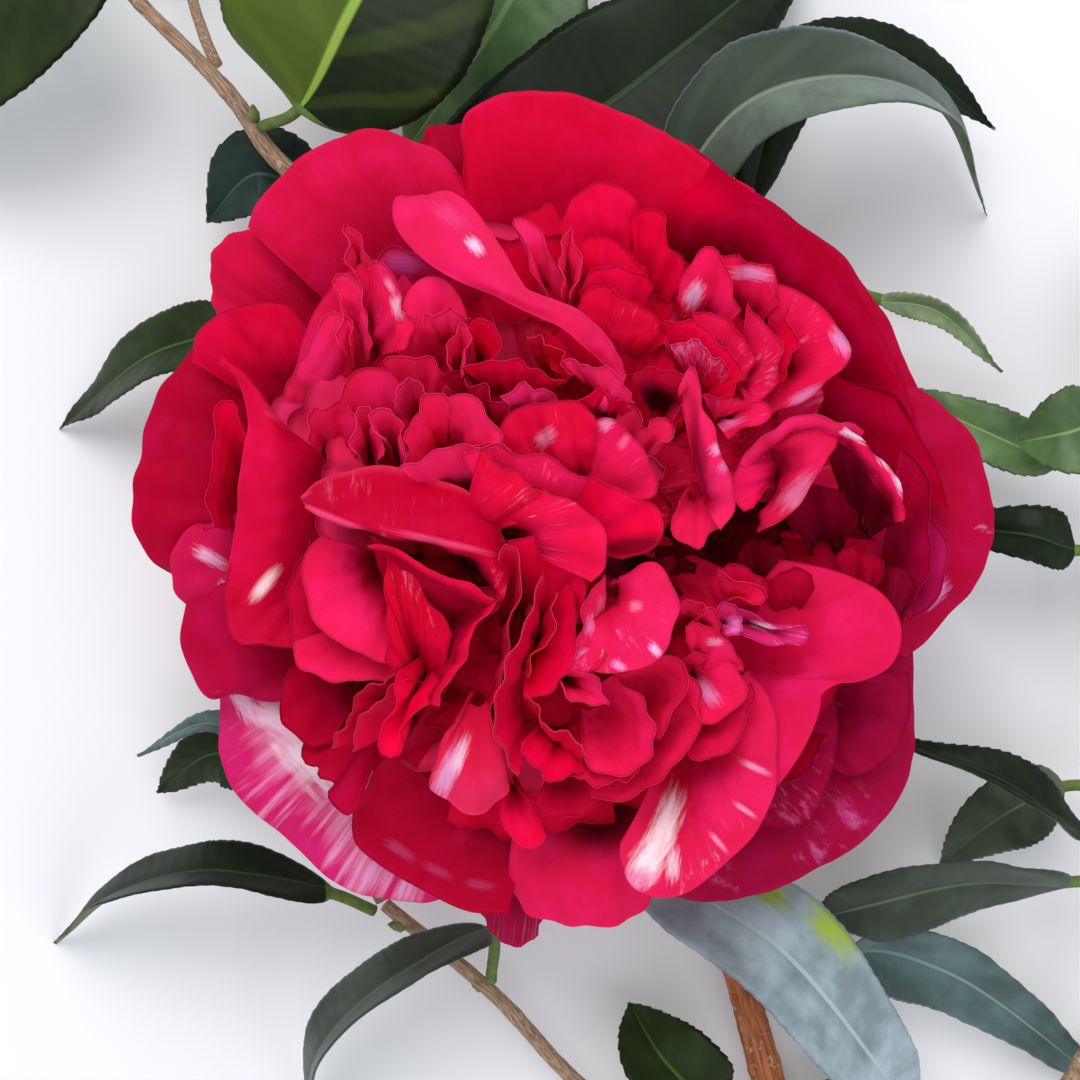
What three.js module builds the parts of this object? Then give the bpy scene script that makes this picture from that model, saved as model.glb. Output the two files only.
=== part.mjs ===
// A cut flowering branch of a camellia, lying on a level surface with its bloom facing up.
//
// Millimetres, +Z up. The layout is written about the bloom: x = y = 0 is the axis of the bloom and
// z = 0 is the surface that the branch lies on. At the end the whole group is shifted so that the
// origin is the middle of the underside of the branch's own box.
//
//   main stem -------- runs below the bloom from its flat cut to its tip
//   twigs ------------ leave the main stem, each one tapering limb
//   leaves ----------- one thin, curved, folded blade each, with its own stalk
//   flowering twig --- rises from the main stem and carries the receptacle and the bloom

import * as THREE from 'three';

// ---- driving dimensions -----------------------------------------------------------------------

const SEAT_GAP = 0.3;            // clearance between a piece and the one that carries it

const STEM_SIDES = 8;
const STEM_STEP = 10;            // length of stem between two rings
const CUT_STEP = 4;              // the first ring lies this far above a cut, so the cut is flat

const TIP_SHARE = 0.999;          // past this share of its last stretch a stem counts as its tip

const PETIOLE_RADIUS = 0.85;
const PETIOLE_RINGS = 3;
const LEAF_RINGS = 10;
const LEAF_SIDES = 8;
const LEAF_THICKNESS = 0.7;
const LEAF_TIP_RADIUS = 0.25;
const LEAF_BASE_POWER = 0.62;    // how bluntly the blade starts
const LEAF_TIP_POWER = 0.95;     // how sharply it comes to its point

const RECEPTACLE_SEGMENTS = 20;
const RECEPTACLE_BOTTOM = 18;
const RECEPTACLE_TOP = 28;
const RECEPTACLE_RADIUS = 9;

const BLOOM_SEGMENTS = 56;
const BLOOM_BOTTOM = RECEPTACLE_TOP + SEAT_GAP;
const BLOOM_LOBE_DEPTH = 0.14;   // how far the outline draws in between two outer petals
const BLOOM_RELIEF = 2.2;        // height of the unevenness over the crown
const BLOOM_HOLLOW = { x: 29, y: 1, radius: 13, depth: 9 };

// ---- colours ----------------------------------------------------------------------------------

const BARK = new THREE.MeshStandardMaterial({ color: 0x9a6a45, roughness: 0.8, metalness: 0 });
const LEAF_GREEN = new THREE.MeshStandardMaterial({ color: 0x2f4a26, roughness: 0.4, metalness: 0 });
const CALYX_GREEN = new THREE.MeshStandardMaterial({ color: 0x7c8a45, roughness: 0.6, metalness: 0 });
const PETAL_RED = new THREE.MeshStandardMaterial({ color: 0xc80c30, roughness: 0.55, metalness: 0 });

// ---- the branch -------------------------------------------------------------------------------
//
// Each stem: the stem it grows from, its route from the point where it leaves that stem's axis, and
// its radius at the start and at the tip. Each leaf: the spine of its blade from base to tip, the
// blade's full width, its roll in degrees (a positive roll lifts the edge on the left of the way to
// the tip), the twist added to the roll by the time it reaches the tip, and its fold, the rise of
// each half for each millimetre away from the midrib. Its stalk grows from the nearest point of the
// stem's axis, or from the point nearest to a stated joint.

const STEMS = [
  {
    name: 'main_stem',
    route: [
      [39.6, -114.5, 3], [31.3, -83.9, 6.5], [26.2, -65.3, 9], [19.2, -35.2, 11],
      [11.7, -5.5, 12], [6.2, 32.9, 13], [3, 76.3, 12], [1.1, 98, 9],
    ],
    radii: [2.8, 0.9],
    leaves: [
      {
        spine: [[13, -49, 18], [30, -59, 34], [44, -76, 28], [58, -98, 0.4]],
        width: 20,
        roll: -42,
        fold: 0.15,
      },
      {
        spine: [[34.4, -70.2, 13], [44, -63, 14], [56, -65.5, 15], [86, -88, 0.4]],
        width: 18,
        roll: 78,
        twist: -68,
        fold: 0.2,
      },
      { spine: [[25, -88, 9], [15.5, -79.5, 14], [10.2, -72, 7]], width: 14, roll: 15, fold: 0.45 },
      { spine: [[37, -86.5, 10], [42.5, -89, 10], [46, -101, 5]], width: 12, roll: 0, fold: 0.2 },
      { spine: [[-1.5, 86, 13], [-10.5, 72.5, 12], [-24, 56, 4]], width: 24, roll: 0, fold: 0.15 },
      { spine: [[8, 71.8, 12], [20, 76, 14], [37, 86, 5]], width: 24, roll: 0, fold: 0.2 },
      { spine: [[1.4, 102.5, 10.5], [12, 108, 14], [30, 111, 0.4]], width: 18, roll: 0, fold: 0.2 },
    ],
  },
  {
    name: 'lower_left_twig',
    from: 'main_stem',
    route: [[36.9, -105, 4], [21.1, -98.8, 6], [2.1, -83.5, 8], [-9.8, -70.1, 11], [-25.8, -56, 15]],
    radii: [1.3, 1.05],
    leaves: [
      {
        spine: [[-10.5, -59.5, 19], [-24, -64.8, 25], [-34.5, -75.5, 18], [-39, -90.5, 1]],
        joint: [-10.3, -69.7, 11],
        width: 16,
        roll: 72,
        fold: 0.2,
      },
      {
        spine: [[-33, -53.5, 20], [-49.5, -49.5, 25], [-64, -53.5, 17], [-77.5, -64.5, 0.4]],
        joint: [-22, -59.5, 14],
        width: 14,
        roll: 62,
        twist: 20,
        fold: 0.2,
      },
    ],
  },
  {
    name: 'lower_left_twig_end',
    from: 'lower_left_twig',
    route: [[-25.8, -56, 15], [-35, -39, 16], [-40.2, -14.2, 17], [-43.5, 21.5, 18]],
    radii: [1.05, 0.8],
    leaves: [
      { spine: [[-41, -37.5, 12], [-50.5, -34, 13], [-61.5, -41, 3]], width: 10, roll: -10, fold: 0.2 },
      { spine: [[-41.5, -34, 18], [-50.5, -29, 20], [-62.5, -34, 14]], width: 5, roll: 50, fold: 0.2 },
      { spine: [[-45.5, 26.5, 22], [-57, 25, 21], [-77, 14.6, 0.4]], width: 13, roll: 35, fold: 0.2 },
    ],
  },
  {
    name: 'upper_left_twig',
    from: 'main_stem',
    route: [
      [8, 19.6, 13], [-9, 28.3, 15], [-26.3, 41.8, 18], [-41, 52.3, 20],
      [-47.5, 61.3, 22], [-60.4, 74.3, 24], [-72.8, 87.9, 24],
    ],
    radii: [1.9, 0.8],
    leaves: [
      { spine: [[-18.5, 47, 20], [3, 58, 20], [18, 69, 21], [34, 83, 17]], width: 26, roll: 0, fold: 0.12 },
      {
        spine: [[-37, 58, 28], [-29.9, 69, 34], [-22.6, 85, 31], [-20.3, 109, 8]],
        joint: [-44, 56.5, 21],
        width: 36,
        roll: 10,
        fold: 0.22,
      },
      { spine: [[-36.5, 48.5, 14], [-44.5, 51, 16], [-53, 45, 9]], width: 14, roll: 0, fold: 0.2 },
      { spine: [[-66, 85, 28], [-84, 71, 25], [-108, 55, 0.4]], width: 27, roll: 0, fold: 0.15 },
      { spine: [[-76.5, 92, 25], [-87, 100, 23], [-101, 107, 10]], width: 19, roll: 0, fold: 0.2 },
    ],
  },
  {
    name: 'upper_left_fork',
    from: 'upper_left_twig',
    route: [[-48, 61.8, 22], [-51.5, 70, 19.5], [-54.2, 78, 17], [-56.5, 88, 16]],
    radii: [0.9, 0.7],
    leaves: [
      { spine: [[-57, 92, 16.5], [-62, 102, 18], [-71, 113, 8]], width: 16, roll: 0, fold: 0.2 },
    ],
  },
  {
    name: 'upper_right_twig',
    from: 'main_stem',
    route: [[6.2, 31.4, 13], [18.9, 37.1, 15], [33.2, 36.7, 18], [41.6, 33.6, 20]],
    radii: [1.3, 0.8],
    leaves: [
      {
        spine: [[16, 44, 22], [24.5, 57, 33], [36.5, 60.6, 36], [51.6, 59.5, 28], [65.7, 47.5, 0.4]],
        width: 20,
        roll: -25,
        twist: -35,
        fold: 0.2,
      },
      { spine: [[27, 45.5, 19], [34, 64.5, 24], [48.5, 66.5, 21], [64.5, 58.5, 11]], width: 11, roll: 0, fold: 0.15 },
      { spine: [[45.5, 32, 22], [53, 30.5, 23], [66, 22.6, 9]], width: 4.5, roll: 35, fold: 0.25 },
    ],
  },
  {
    name: 'right_twig',
    from: 'main_stem',
    route: [[37.9, -108.5, 3.7], [51, -105, 6.5], [68, -95, 10], [78, -78, 12.5]],
    radii: [1.8, 1.35],
    leaves: [
      { spine: [[83.5, -84, 14], [90, -95, 14], [97, -110, 0.4]], width: 17, roll: 0, fold: 0.2 },
    ],
  },
  {
    name: 'right_twig_end',
    from: 'right_twig',
    route: [[78, -78, 12.5], [82, -60, 13.5], [82.5, -40, 14], [81, -15, 15], [78, 9, 15]],
    radii: [1.35, 0.8],
    leaves: [
      {
        spine: [[73.5, -52, 19], [56, -51, 27], [43, -54, 27], [36, -57, 22]],
        width: 15,
        roll: -62,
        twist: 50,
        fold: 0.2,
      },
      { spine: [[76, -45, 19], [62.2, -36.5, 25], [45.9, -30.6, 20]], width: 8, roll: 52, fold: 0.5 },
      { spine: [[74.5, -39, 12], [65.5, -43, 13], [58.2, -52.2, 1]], width: 12, roll: 0, fold: 0.2 },
      { spine: [[88, -29, 16], [94, -15, 18], [96, 5, 3]], width: 16, roll: 0, fold: 0.2 },
      { spine: [[75, -4, 16], [69, -2, 17], [55, -0.3, 9]], width: 10, roll: 20, fold: 0.3 },
      { spine: [[73, 9, 15], [62, 13.5, 15], [49, 20.5, 10]], width: 9, roll: 0, fold: 0.2 },
      { spine: [[76.5, 14, 22], [72, 12.8, 24], [65.5, 11.5, 20]], width: 13, roll: 0, fold: 0.3 },
      { spine: [[84, 13, 15], [89, 27, 17], [91, 46, 0.4]], width: 17, roll: 0, fold: 0.2 },
    ],
  },
  {
    name: 'flowering_twig',
    from: 'main_stem',
    route: [[15.4, -20.3, 11.5], [6, -10, 12.6], [0.5, -1.2, 14.4], [0, 0, 16.8]],
    radii: [1.5, 2.0],
    leaves: [],
  },
];

// The outer petals that give the bloom its outline: azimuth and half width in degrees, reach from
// the axis and height of the rim in millimetres.
const OUTER_PETALS = [
  { azimuth: 3, halfWidth: 27, reach: 57, rim: 45 },
  { azimuth: 37, halfWidth: 24, reach: 52, rim: 49 },
  { azimuth: 84, halfWidth: 28, reach: 57, rim: 46 },
  { azimuth: 121, halfWidth: 24, reach: 57, rim: 45 },
  { azimuth: 143, halfWidth: 16, reach: 59, rim: 42 },
  { azimuth: 158, halfWidth: 14, reach: 55, rim: 50 },
  { azimuth: 176, halfWidth: 20, reach: 57.5, rim: 44 },
  { azimuth: 197, halfWidth: 18, reach: 54, rim: 48 },
  { azimuth: 222, halfWidth: 24, reach: 57, rim: 40 },
  { azimuth: 248, halfWidth: 18, reach: 56, rim: 44 },
  { azimuth: 275, halfWidth: 20, reach: 55.5, rim: 44 },
  { azimuth: 311, halfWidth: 30, reach: 58, rim: 43 },
];

// The bloom's section from its foot round the rim to the crown: the share of the reach, the height,
// or at the rim the offset from the outer petal's own rim, and how much of the lobes shows there.
const BLOOM_SECTION = [
  { share: 0.14, height: BLOOM_BOTTOM, lobes: 0 },
  { share: 0.4, height: 32, lobes: 0.2 },
  { share: 0.65, height: 36.5, lobes: 0.5 },
  { share: 0.86, height: 41.5, lobes: 0.8 },
  { share: 0.985, rimOffset: -1.5, lobes: 1 },
  { share: 1, rimOffset: 1, lobes: 1 },
  { share: 0.96, rimOffset: 4, lobes: 1 },
  { share: 0.86, height: 57, lobes: 0.6 },
  { share: 0.76, height: 65, lobes: 0.4 },
  { share: 0.62, height: 71.5, lobes: 0.2 },
  { share: 0.45, height: 76, lobes: 0 },
  { share: 0.28, height: 78.5, lobes: 0 },
  { share: 0.12, height: 79.5, lobes: 0 },
];

// ---- shape functions --------------------------------------------------------------------------

const UP = new THREE.Vector3(0, 0, 1);
const radians = THREE.MathUtils.degToRad;
const point = (coordinates) => new THREE.Vector3(...coordinates);

/** A closed solid through rings of equal count, each running right-handed about the way forward. */
function loft(rings) {
  const sides = rings[0].length;
  const faces = [];
  for (let ring = 0; ring < rings.length - 1; ring += 1) {
    for (let side = 0; side < sides; side += 1) {
      const here = ring * sides + side;
      const beside = ring * sides + ((side + 1) % sides);
      faces.push(here, beside, beside + sides);
      faces.push(here, beside + sides, here + sides);
    }
  }
  const last = (rings.length - 1) * sides;
  for (let side = 1; side < sides - 1; side += 1) {
    faces.push(0, side + 1, side);
    faces.push(last, last + side, last + side + 1);
  }
  const geometry = new THREE.BufferGeometry();
  const coordinates = rings.flat().flatMap((corner) => corner.toArray());
  geometry.setAttribute('position', new THREE.Float32BufferAttribute(coordinates, 3));
  geometry.setIndex(faces);
  geometry.computeVertexNormals();
  return geometry;
}

/** The level side direction and the upward direction across a curve, turned by a roll. */
function crossDirections(tangent, roll) {
  const side = new THREE.Vector3().crossVectors(UP, tangent).normalize();
  const raised = new THREE.Vector3().crossVectors(tangent, side);
  const turn = radians(roll);
  return {
    side: side.clone().multiplyScalar(Math.cos(turn)).addScaledVector(raised, Math.sin(turn)),
    raised: raised.clone().multiplyScalar(Math.cos(turn)).addScaledVector(side, -Math.sin(turn)),
  };
}

/** A stem from its route: the centre, direction and radius of each ring along it. */
function stemRings(route, radii) {
  const curve = new THREE.CatmullRomCurve3(route, false, 'centripetal');
  const length = curve.getLength();
  const firstStep = CUT_STEP / length;
  const count = Math.round(length / STEM_STEP);
  const stations = [0];
  for (let step = 0; step <= count; step += 1) {
    stations.push(THREE.MathUtils.lerp(firstStep, 1, step / count));
  }
  return stations.map((along) => ({
    centre: curve.getPointAt(along),
    tangent: curve.getTangentAt(along <= firstStep ? 0 : along),
    radius: THREE.MathUtils.lerp(radii[0], radii[1], along),
  }));
}

/** The place on a stem's axis nearest to a point, with the stem's direction and radius there. */
function nearestOnStem(rings, target) {
  let best = { distance: Infinity };
  for (let index = 1; index < rings.length; index += 1) {
    const before = rings[index - 1];
    const after = rings[index];
    const stretch = new THREE.Line3(before.centre, after.centre);
    const share = stretch.closestPointToPointParameter(target, true);
    const place = stretch.at(share, new THREE.Vector3());
    const distance = place.distanceTo(target);
    if (distance < best.distance) {
      best = {
        distance,
        place,
        tangent: stretch.delta(new THREE.Vector3()).normalize(),
        radius: THREE.MathUtils.lerp(before.radius, after.radius, share),
        atTip: index === rings.length - 1 && share > TIP_SHARE,
      };
    }
  }
  return best;
}

/** Where a piece of a given radius starts, clear of the stem that carries it, on its way to a point. */
function seatOnStem(rings, joint, toward, ownRadius) {
  const { place, atTip, tangent, radius } = nearestOnStem(rings, joint);
  const direction = toward.clone().sub(place).normalize();
  const cosine = Math.abs(direction.dot(tangent));
  const sine = Math.sqrt(1 - cosine * cosine);
  const pastSide = (radius + SEAT_GAP + ownRadius * cosine) / sine;
  const pastEnd = (SEAT_GAP + ownRadius * sine) / cosine;
  return place.clone().addScaledVector(direction, atTip ? Math.min(pastSide, pastEnd) : pastSide);
}

/** One tapering limb with flat ends. */
function limb(stem) {
  return loft(stem.map(({ centre, tangent, radius }) => {
    const { side, raised } = crossDirections(tangent, 0);
    return Array.from({ length: STEM_SIDES }, (_, corner) => {
      const angle = (2 * Math.PI * corner) / STEM_SIDES;
      return centre.clone()
        .addScaledVector(side, radius * Math.cos(angle))
        .addScaledVector(raised, radius * Math.sin(angle));
    });
  }));
}

/** The blade's half width as a share of its greatest, from 0 at its base to 1 at its tip. */
function bladeShare(along) {
  const widest = LEAF_BASE_POWER / (LEAF_BASE_POWER + LEAF_TIP_POWER);
  const greatest = widest ** LEAF_BASE_POWER * (1 - widest) ** LEAF_TIP_POWER;
  return (along ** LEAF_BASE_POWER * (1 - along) ** LEAF_TIP_POWER) / greatest;
}

/** One leaf: a round stalk that flattens into a thin blade, folded along its midrib. */
function leaf(stem, { spine, joint, width, roll, twist = 0, fold }) {
  const base = point(spine[0]);
  const seat = seatOnStem(stem, joint ? point(joint) : base, base, PETIOLE_RADIUS);
  const curve = new THREE.CatmullRomCurve3([seat, ...spine.map(point)], false, 'centripetal');
  const bladeStart = 1 / spine.length;
  const stations = [];
  for (let ring = 0; ring < PETIOLE_RINGS; ring += 1) {
    stations.push({ at: (bladeStart * ring) / PETIOLE_RINGS, blade: 0 });
  }
  for (let ring = 0; ring <= LEAF_RINGS; ring += 1) {
    const blade = ring / LEAF_RINGS;
    stations.push({ at: THREE.MathUtils.lerp(bladeStart, 1, blade), blade });
  }
  const rings = stations.map(({ at, blade }) => {
    const centre = curve.getPoint(at);
    const unrolled = Math.min(1, at / bladeStart);
    const turn = roll * unrolled + twist * blade;
    const forward = at === 0 ? base.clone().sub(seat).normalize() : curve.getTangent(at);
    const { side, raised } = crossDirections(forward, turn);
    const flatness = Math.min(1, blade * 4);
    const leastWidth = THREE.MathUtils.lerp(PETIOLE_RADIUS, LEAF_TIP_RADIUS, blade);
    const halfWidth = Math.max(leastWidth, (width / 2) * bladeShare(blade));
    const halfDepth = THREE.MathUtils.lerp(PETIOLE_RADIUS, LEAF_THICKNESS / 2, flatness);
    return Array.from({ length: LEAF_SIDES }, (_, corner) => {
      const angle = (2 * Math.PI * corner) / LEAF_SIDES;
      const across = halfWidth * Math.cos(angle);
      const rise = Math.abs(across) * fold * flatness + halfDepth * Math.sin(angle);
      return centre.clone().addScaledVector(side, across).addScaledVector(raised, rise);
    });
  });
  return loft(rings);
}

/** The cup of green scales under the bloom. */
function receptacle() {
  const profile = [
    [0, RECEPTACLE_BOTTOM],
    [2.4, RECEPTACLE_BOTTOM],
    [0.55 * RECEPTACLE_RADIUS, RECEPTACLE_BOTTOM + 2],
    [0.9 * RECEPTACLE_RADIUS, RECEPTACLE_BOTTOM + 5.5],
    [RECEPTACLE_RADIUS, RECEPTACLE_TOP - 1.5],
    [0.93 * RECEPTACLE_RADIUS, RECEPTACLE_TOP],
    [0, RECEPTACLE_TOP],
  ];
  const outline = profile.map(([radius, height]) => new THREE.Vector2(radius, height));
  return new THREE.LatheGeometry(outline, RECEPTACLE_SEGMENTS).rotateX(Math.PI / 2);
}

/** Reach and rim height of the bloom's lobed outline at an azimuth in degrees. */
function bloomOutline(azimuth) {
  let outline = { reach: 0, rim: 0 };
  OUTER_PETALS.forEach((petal) => {
    const apart = Math.abs(((azimuth - petal.azimuth + 540) % 360) - 180);
    const drawIn = BLOOM_LOBE_DEPTH * (apart / petal.halfWidth) ** 2;
    const reach = petal.reach * (1 - Math.min(2 * BLOOM_LOBE_DEPTH, drawIn));
    if (reach > outline.reach) {
      outline = { reach, rim: petal.rim };
    }
  });
  return outline;
}

/** The unevenness of the crown: low clumps of small petals, and one deeper hollow. */
function crownRelief(x, y) {
  const clumps = Math.sin(x / 6.5 + 1.1) * Math.cos(y / 7.5 - 0.4) + 0.6 * Math.sin((x + y) / 9);
  const toHollow = Math.hypot(x - BLOOM_HOLLOW.x, y - BLOOM_HOLLOW.y) / BLOOM_HOLLOW.radius;
  return BLOOM_RELIEF * clumps - BLOOM_HOLLOW.depth * Math.exp(-toHollow * toHollow);
}

/** The bloom: one uneven solid, spreading from the receptacle to its lobed rim, domed above. */
function bloom() {
  const meanReach = OUTER_PETALS.reduce((sum, petal) => sum + petal.reach, 0) / OUTER_PETALS.length;
  const rings = BLOOM_SECTION.map((level, index) => (
    Array.from({ length: BLOOM_SEGMENTS }, (_, segment) => {
      const azimuth = (360 * segment) / BLOOM_SEGMENTS;
      const outline = bloomOutline(azimuth);
      const radius = level.share * THREE.MathUtils.lerp(meanReach, outline.reach, level.lobes);
      const x = radius * Math.cos(radians(azimuth));
      const y = radius * Math.sin(radians(azimuth));
      const height = level.rimOffset === undefined ? level.height : outline.rim + level.rimOffset;
      const crown = Math.max(0, index - 6) / (BLOOM_SECTION.length - 7);
      return new THREE.Vector3(x, y, height + crownRelief(x, y) * Math.min(1, 2 * crown));
    })
  ));
  return loft(rings);
}

// ---- assembly ---------------------------------------------------------------------------------

const branch = new THREE.Group();

function addPiece(name, geometry, material) {
  const piece = new THREE.Mesh(geometry, material);
  piece.name = name;
  branch.add(piece);
}

const grown = new Map();
STEMS.forEach(({ name, from, route, radii, leaves }) => {
  const points = route.map(point);
  if (from) {
    points[0] = seatOnStem(grown.get(from), points[0], points[1], radii[0]);
  }
  const stem = stemRings(points, radii);
  grown.set(name, stem);
  addPiece(name, limb(stem), BARK);
  leaves.forEach((blade, index) => {
    addPiece(`${name}_leaf_${index + 1}`, leaf(stem, blade), LEAF_GREEN);
  });
});
addPiece('receptacle', receptacle(), CALYX_GREEN);
addPiece('bloom', bloom(), PETAL_RED);

const box = new THREE.Box3().setFromObject(branch, true);
const centre = box.getCenter(new THREE.Vector3());
branch.position.set(-centre.x, -centre.y, -box.min.z);
branch.updateMatrixWorld(true);

export default branch;
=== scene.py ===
"""A cut camellia branch lying on a pale floor under soft light, seen from straight above its bloom.

Lengths are in millimetres about the bloom: x = y = 0 is the bloom's axis and z = 0 is the floor.
in_frame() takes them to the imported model's frame, in metres. The bloom's visible petals are placed
by seen(), which turns a place in the picture and a height into a point.

  stems ----- one tapering limb for each CAD stem, with bark relief and swollen nodes
  leaves ---- one thin toothed blade for each CAD leaf
  calyx ----- green scales in place of the receptacle
  bloom ----- outer petals, named inner petals, and seeded whorls of petals under them
"""

import math
from typing import NamedTuple

import bpy
import numpy as np
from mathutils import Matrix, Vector


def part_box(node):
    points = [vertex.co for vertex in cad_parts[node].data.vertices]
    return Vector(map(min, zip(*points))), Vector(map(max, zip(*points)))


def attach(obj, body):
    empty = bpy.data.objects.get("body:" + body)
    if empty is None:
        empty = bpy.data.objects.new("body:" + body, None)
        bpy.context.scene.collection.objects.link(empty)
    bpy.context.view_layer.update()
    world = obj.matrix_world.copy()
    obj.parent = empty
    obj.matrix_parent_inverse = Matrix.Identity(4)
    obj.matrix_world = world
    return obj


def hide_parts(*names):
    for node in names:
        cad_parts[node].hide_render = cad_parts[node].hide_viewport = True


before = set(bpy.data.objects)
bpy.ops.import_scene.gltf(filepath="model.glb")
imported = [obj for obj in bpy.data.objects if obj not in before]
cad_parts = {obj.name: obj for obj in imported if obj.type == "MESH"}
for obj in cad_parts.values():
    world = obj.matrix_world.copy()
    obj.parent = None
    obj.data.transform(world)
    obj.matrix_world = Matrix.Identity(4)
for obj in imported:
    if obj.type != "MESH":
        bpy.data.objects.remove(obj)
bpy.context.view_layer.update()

MM = 0.001
receptacle_low, receptacle_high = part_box("receptacle")
RECEPTACLE_BOTTOM = 18.0
ORIGIN = np.array([
    (receptacle_low.x + receptacle_high.x) / 2,
    (receptacle_low.y + receptacle_high.y) / 2,
    receptacle_low.z - RECEPTACLE_BOTTOM * MM,
])

# ---- the camera: it looks straight down on the bloom -------------------------------------------

PICTURE_PIXELS = 1080
CAMERA_PLACE = np.array([-3.1, -2.5, 320.0])
FACE_HEIGHT = 60.0               # the bloom's face, where one millimetre is PIXELS_PER_MM wide
PIXELS_PER_MM = 8.0
SENSOR = 36.0


def in_frame(points):
    """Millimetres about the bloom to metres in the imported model's frame."""
    return ORIGIN + np.asarray(points, float) * MM


def seen(column, row, height):
    """The point at a height that shows at this column and row of the picture."""
    nearness = (CAMERA_PLACE[2] - height) / (CAMERA_PLACE[2] - FACE_HEIGHT)
    middle = PICTURE_PIXELS / 2
    return np.array([
        CAMERA_PLACE[0] + (column - middle) / PIXELS_PER_MM * nearness,
        CAMERA_PLACE[1] + (middle - row) / PIXELS_PER_MM * nearness,
        height,
    ])


def make_camera():
    data = bpy.data.cameras.new("camera")
    data.sensor_width = SENSOR
    data.lens = SENSOR * (CAMERA_PLACE[2] - FACE_HEIGHT) * PIXELS_PER_MM / PICTURE_PIXELS
    data.clip_start = 0.01
    camera = bpy.data.objects.new("camera", data)
    camera.location = in_frame(CAMERA_PLACE)
    bpy.context.scene.collection.objects.link(camera)
    bpy.context.scene.camera = camera


# ---- curves and meshes -------------------------------------------------------------------------

UP = np.array([0.0, 0.0, 1.0])


def unit(vectors):
    return vectors / np.linalg.norm(vectors, axis=-1, keepdims=True).clip(1e-9)


def curve(points, at):
    """Points on a centripetal Catmull-Rom curve, where `at` runs from 0 to 1 over its stretches."""
    points = np.asarray(points, float)
    stretches = len(points) - 1
    whole = np.clip(at, 0, 1) * stretches
    index = np.minimum(whole.astype(int), stretches - 1)
    share = (whole - index)[:, None]
    padded = np.vstack([2 * points[0] - points[1], points, 2 * points[-1] - points[-2]])
    p0, p1, p2, p3 = (padded[index + k] for k in range(4))
    d0, d1, d2 = (
        np.sqrt(np.linalg.norm(b - a, axis=1, keepdims=True)).clip(1e-4)
        for a, b in ((p0, p1), (p1, p2), (p2, p3))
    )
    leave = ((p1 - p0) / d0 - (p2 - p0) / (d0 + d1) + (p2 - p1) / d1) * d1
    arrive = ((p2 - p1) / d1 - (p3 - p1) / (d1 + d2) + (p3 - p2) / d2) * d1
    square, cube = share**2, share**3
    return (
        (2 * cube - 3 * square + 1) * p1
        + (cube - 2 * square + share) * leave
        + (3 * square - 2 * cube) * p2
        + (cube - square) * arrive
    )


def evenly(points, steps):
    """steps + 1 points at equal distances along the curve through the points."""
    dense = curve(points, np.linspace(0, 1, 240))
    travelled = np.concatenate([[0], np.cumsum(np.linalg.norm(np.diff(dense, axis=0), axis=1))])
    wanted = np.linspace(0, travelled[-1], steps + 1)
    return np.stack([np.interp(wanted, travelled, dense[:, k]) for k in range(3)], 1)


def directions(points):
    """The unit direction of travel at each point of a line."""
    return unit(np.gradient(points, axis=0))


def ripples(points, seed, wavelength):
    """Smooth seeded noise of about -1 to 1 at each point."""
    random = np.random.default_rng(seed)
    ways = unit(random.normal(size=(7, 3))) * 2 * math.pi / wavelength
    ways *= random.uniform(0.6, 1.5, (7, 1))
    phases = random.uniform(0, 2 * math.pi, 7)
    return np.sin(points @ ways.T + phases).sum(-1) / 3.2


def grid_normals(grid):
    return unit(np.cross(np.gradient(grid, axis=0), np.gradient(grid, axis=1)))


def closed_sheet(grid, thickness):
    """A thin closed shell about a grid of points: vertices, quads and a UV place for each vertex."""
    rows, columns = grid.shape[:2]
    lift = grid_normals(grid) * np.broadcast_to(thickness, (rows, columns))[..., None] / 2
    vertices = np.concatenate([(grid + lift).reshape(-1, 3), (grid - lift).reshape(-1, 3)])
    number = np.arange(rows * columns).reshape(rows, columns)
    quads = np.stack([number[:-1, :-1], number[1:, :-1], number[1:, 1:], number[:-1, 1:]], -1)
    quads = quads.reshape(-1, 4)
    border = np.concatenate([number[:-1, 0], number[-1, :-1], number[:0:-1, -1], number[0, :0:-1]])
    after = np.roll(border, -1)
    below = rows * columns
    rim = np.stack([border + below, after + below, after, border], 1)
    faces = np.concatenate([quads, quads[:, ::-1] + below, rim[:, ::-1]])
    across, along = np.meshgrid(np.linspace(0, 1, rows), np.linspace(0, 1, columns), indexing="ij")
    places = np.tile(np.stack([across, along], -1).reshape(-1, 2), (2, 1))
    return vertices, faces, places


def tube(rings):
    """A closed tube through rings of equal count, with flat ends."""
    count, sides = rings.shape[:2]
    number = np.arange(count * sides).reshape(count, sides)
    beside = np.roll(number, -1, axis=1)
    quads = np.stack([number[:-1], beside[:-1], beside[1:], number[1:]], -1).reshape(-1, 4)
    middles = np.stack([rings[0].mean(0), rings[-1].mean(0)])
    first, last = count * sides, count * sides + 1
    start = np.stack([number[0], np.full(sides, first), np.full(sides, first), beside[0]], 1)
    end = np.stack([beside[-1], np.full(sides, last), np.full(sides, last), number[-1]], 1)
    vertices = np.concatenate([rings.reshape(-1, 3), middles])
    round_share, along = np.meshgrid(np.linspace(0, 1, sides), np.linspace(0, 1, count))
    places = np.concatenate([np.stack([round_share, along], -1).reshape(-1, 2), [[0.5, 0], [0.5, 1]]])
    return vertices, quads, np.concatenate([start, end])[:, [0, 1, 3]], places


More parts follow.
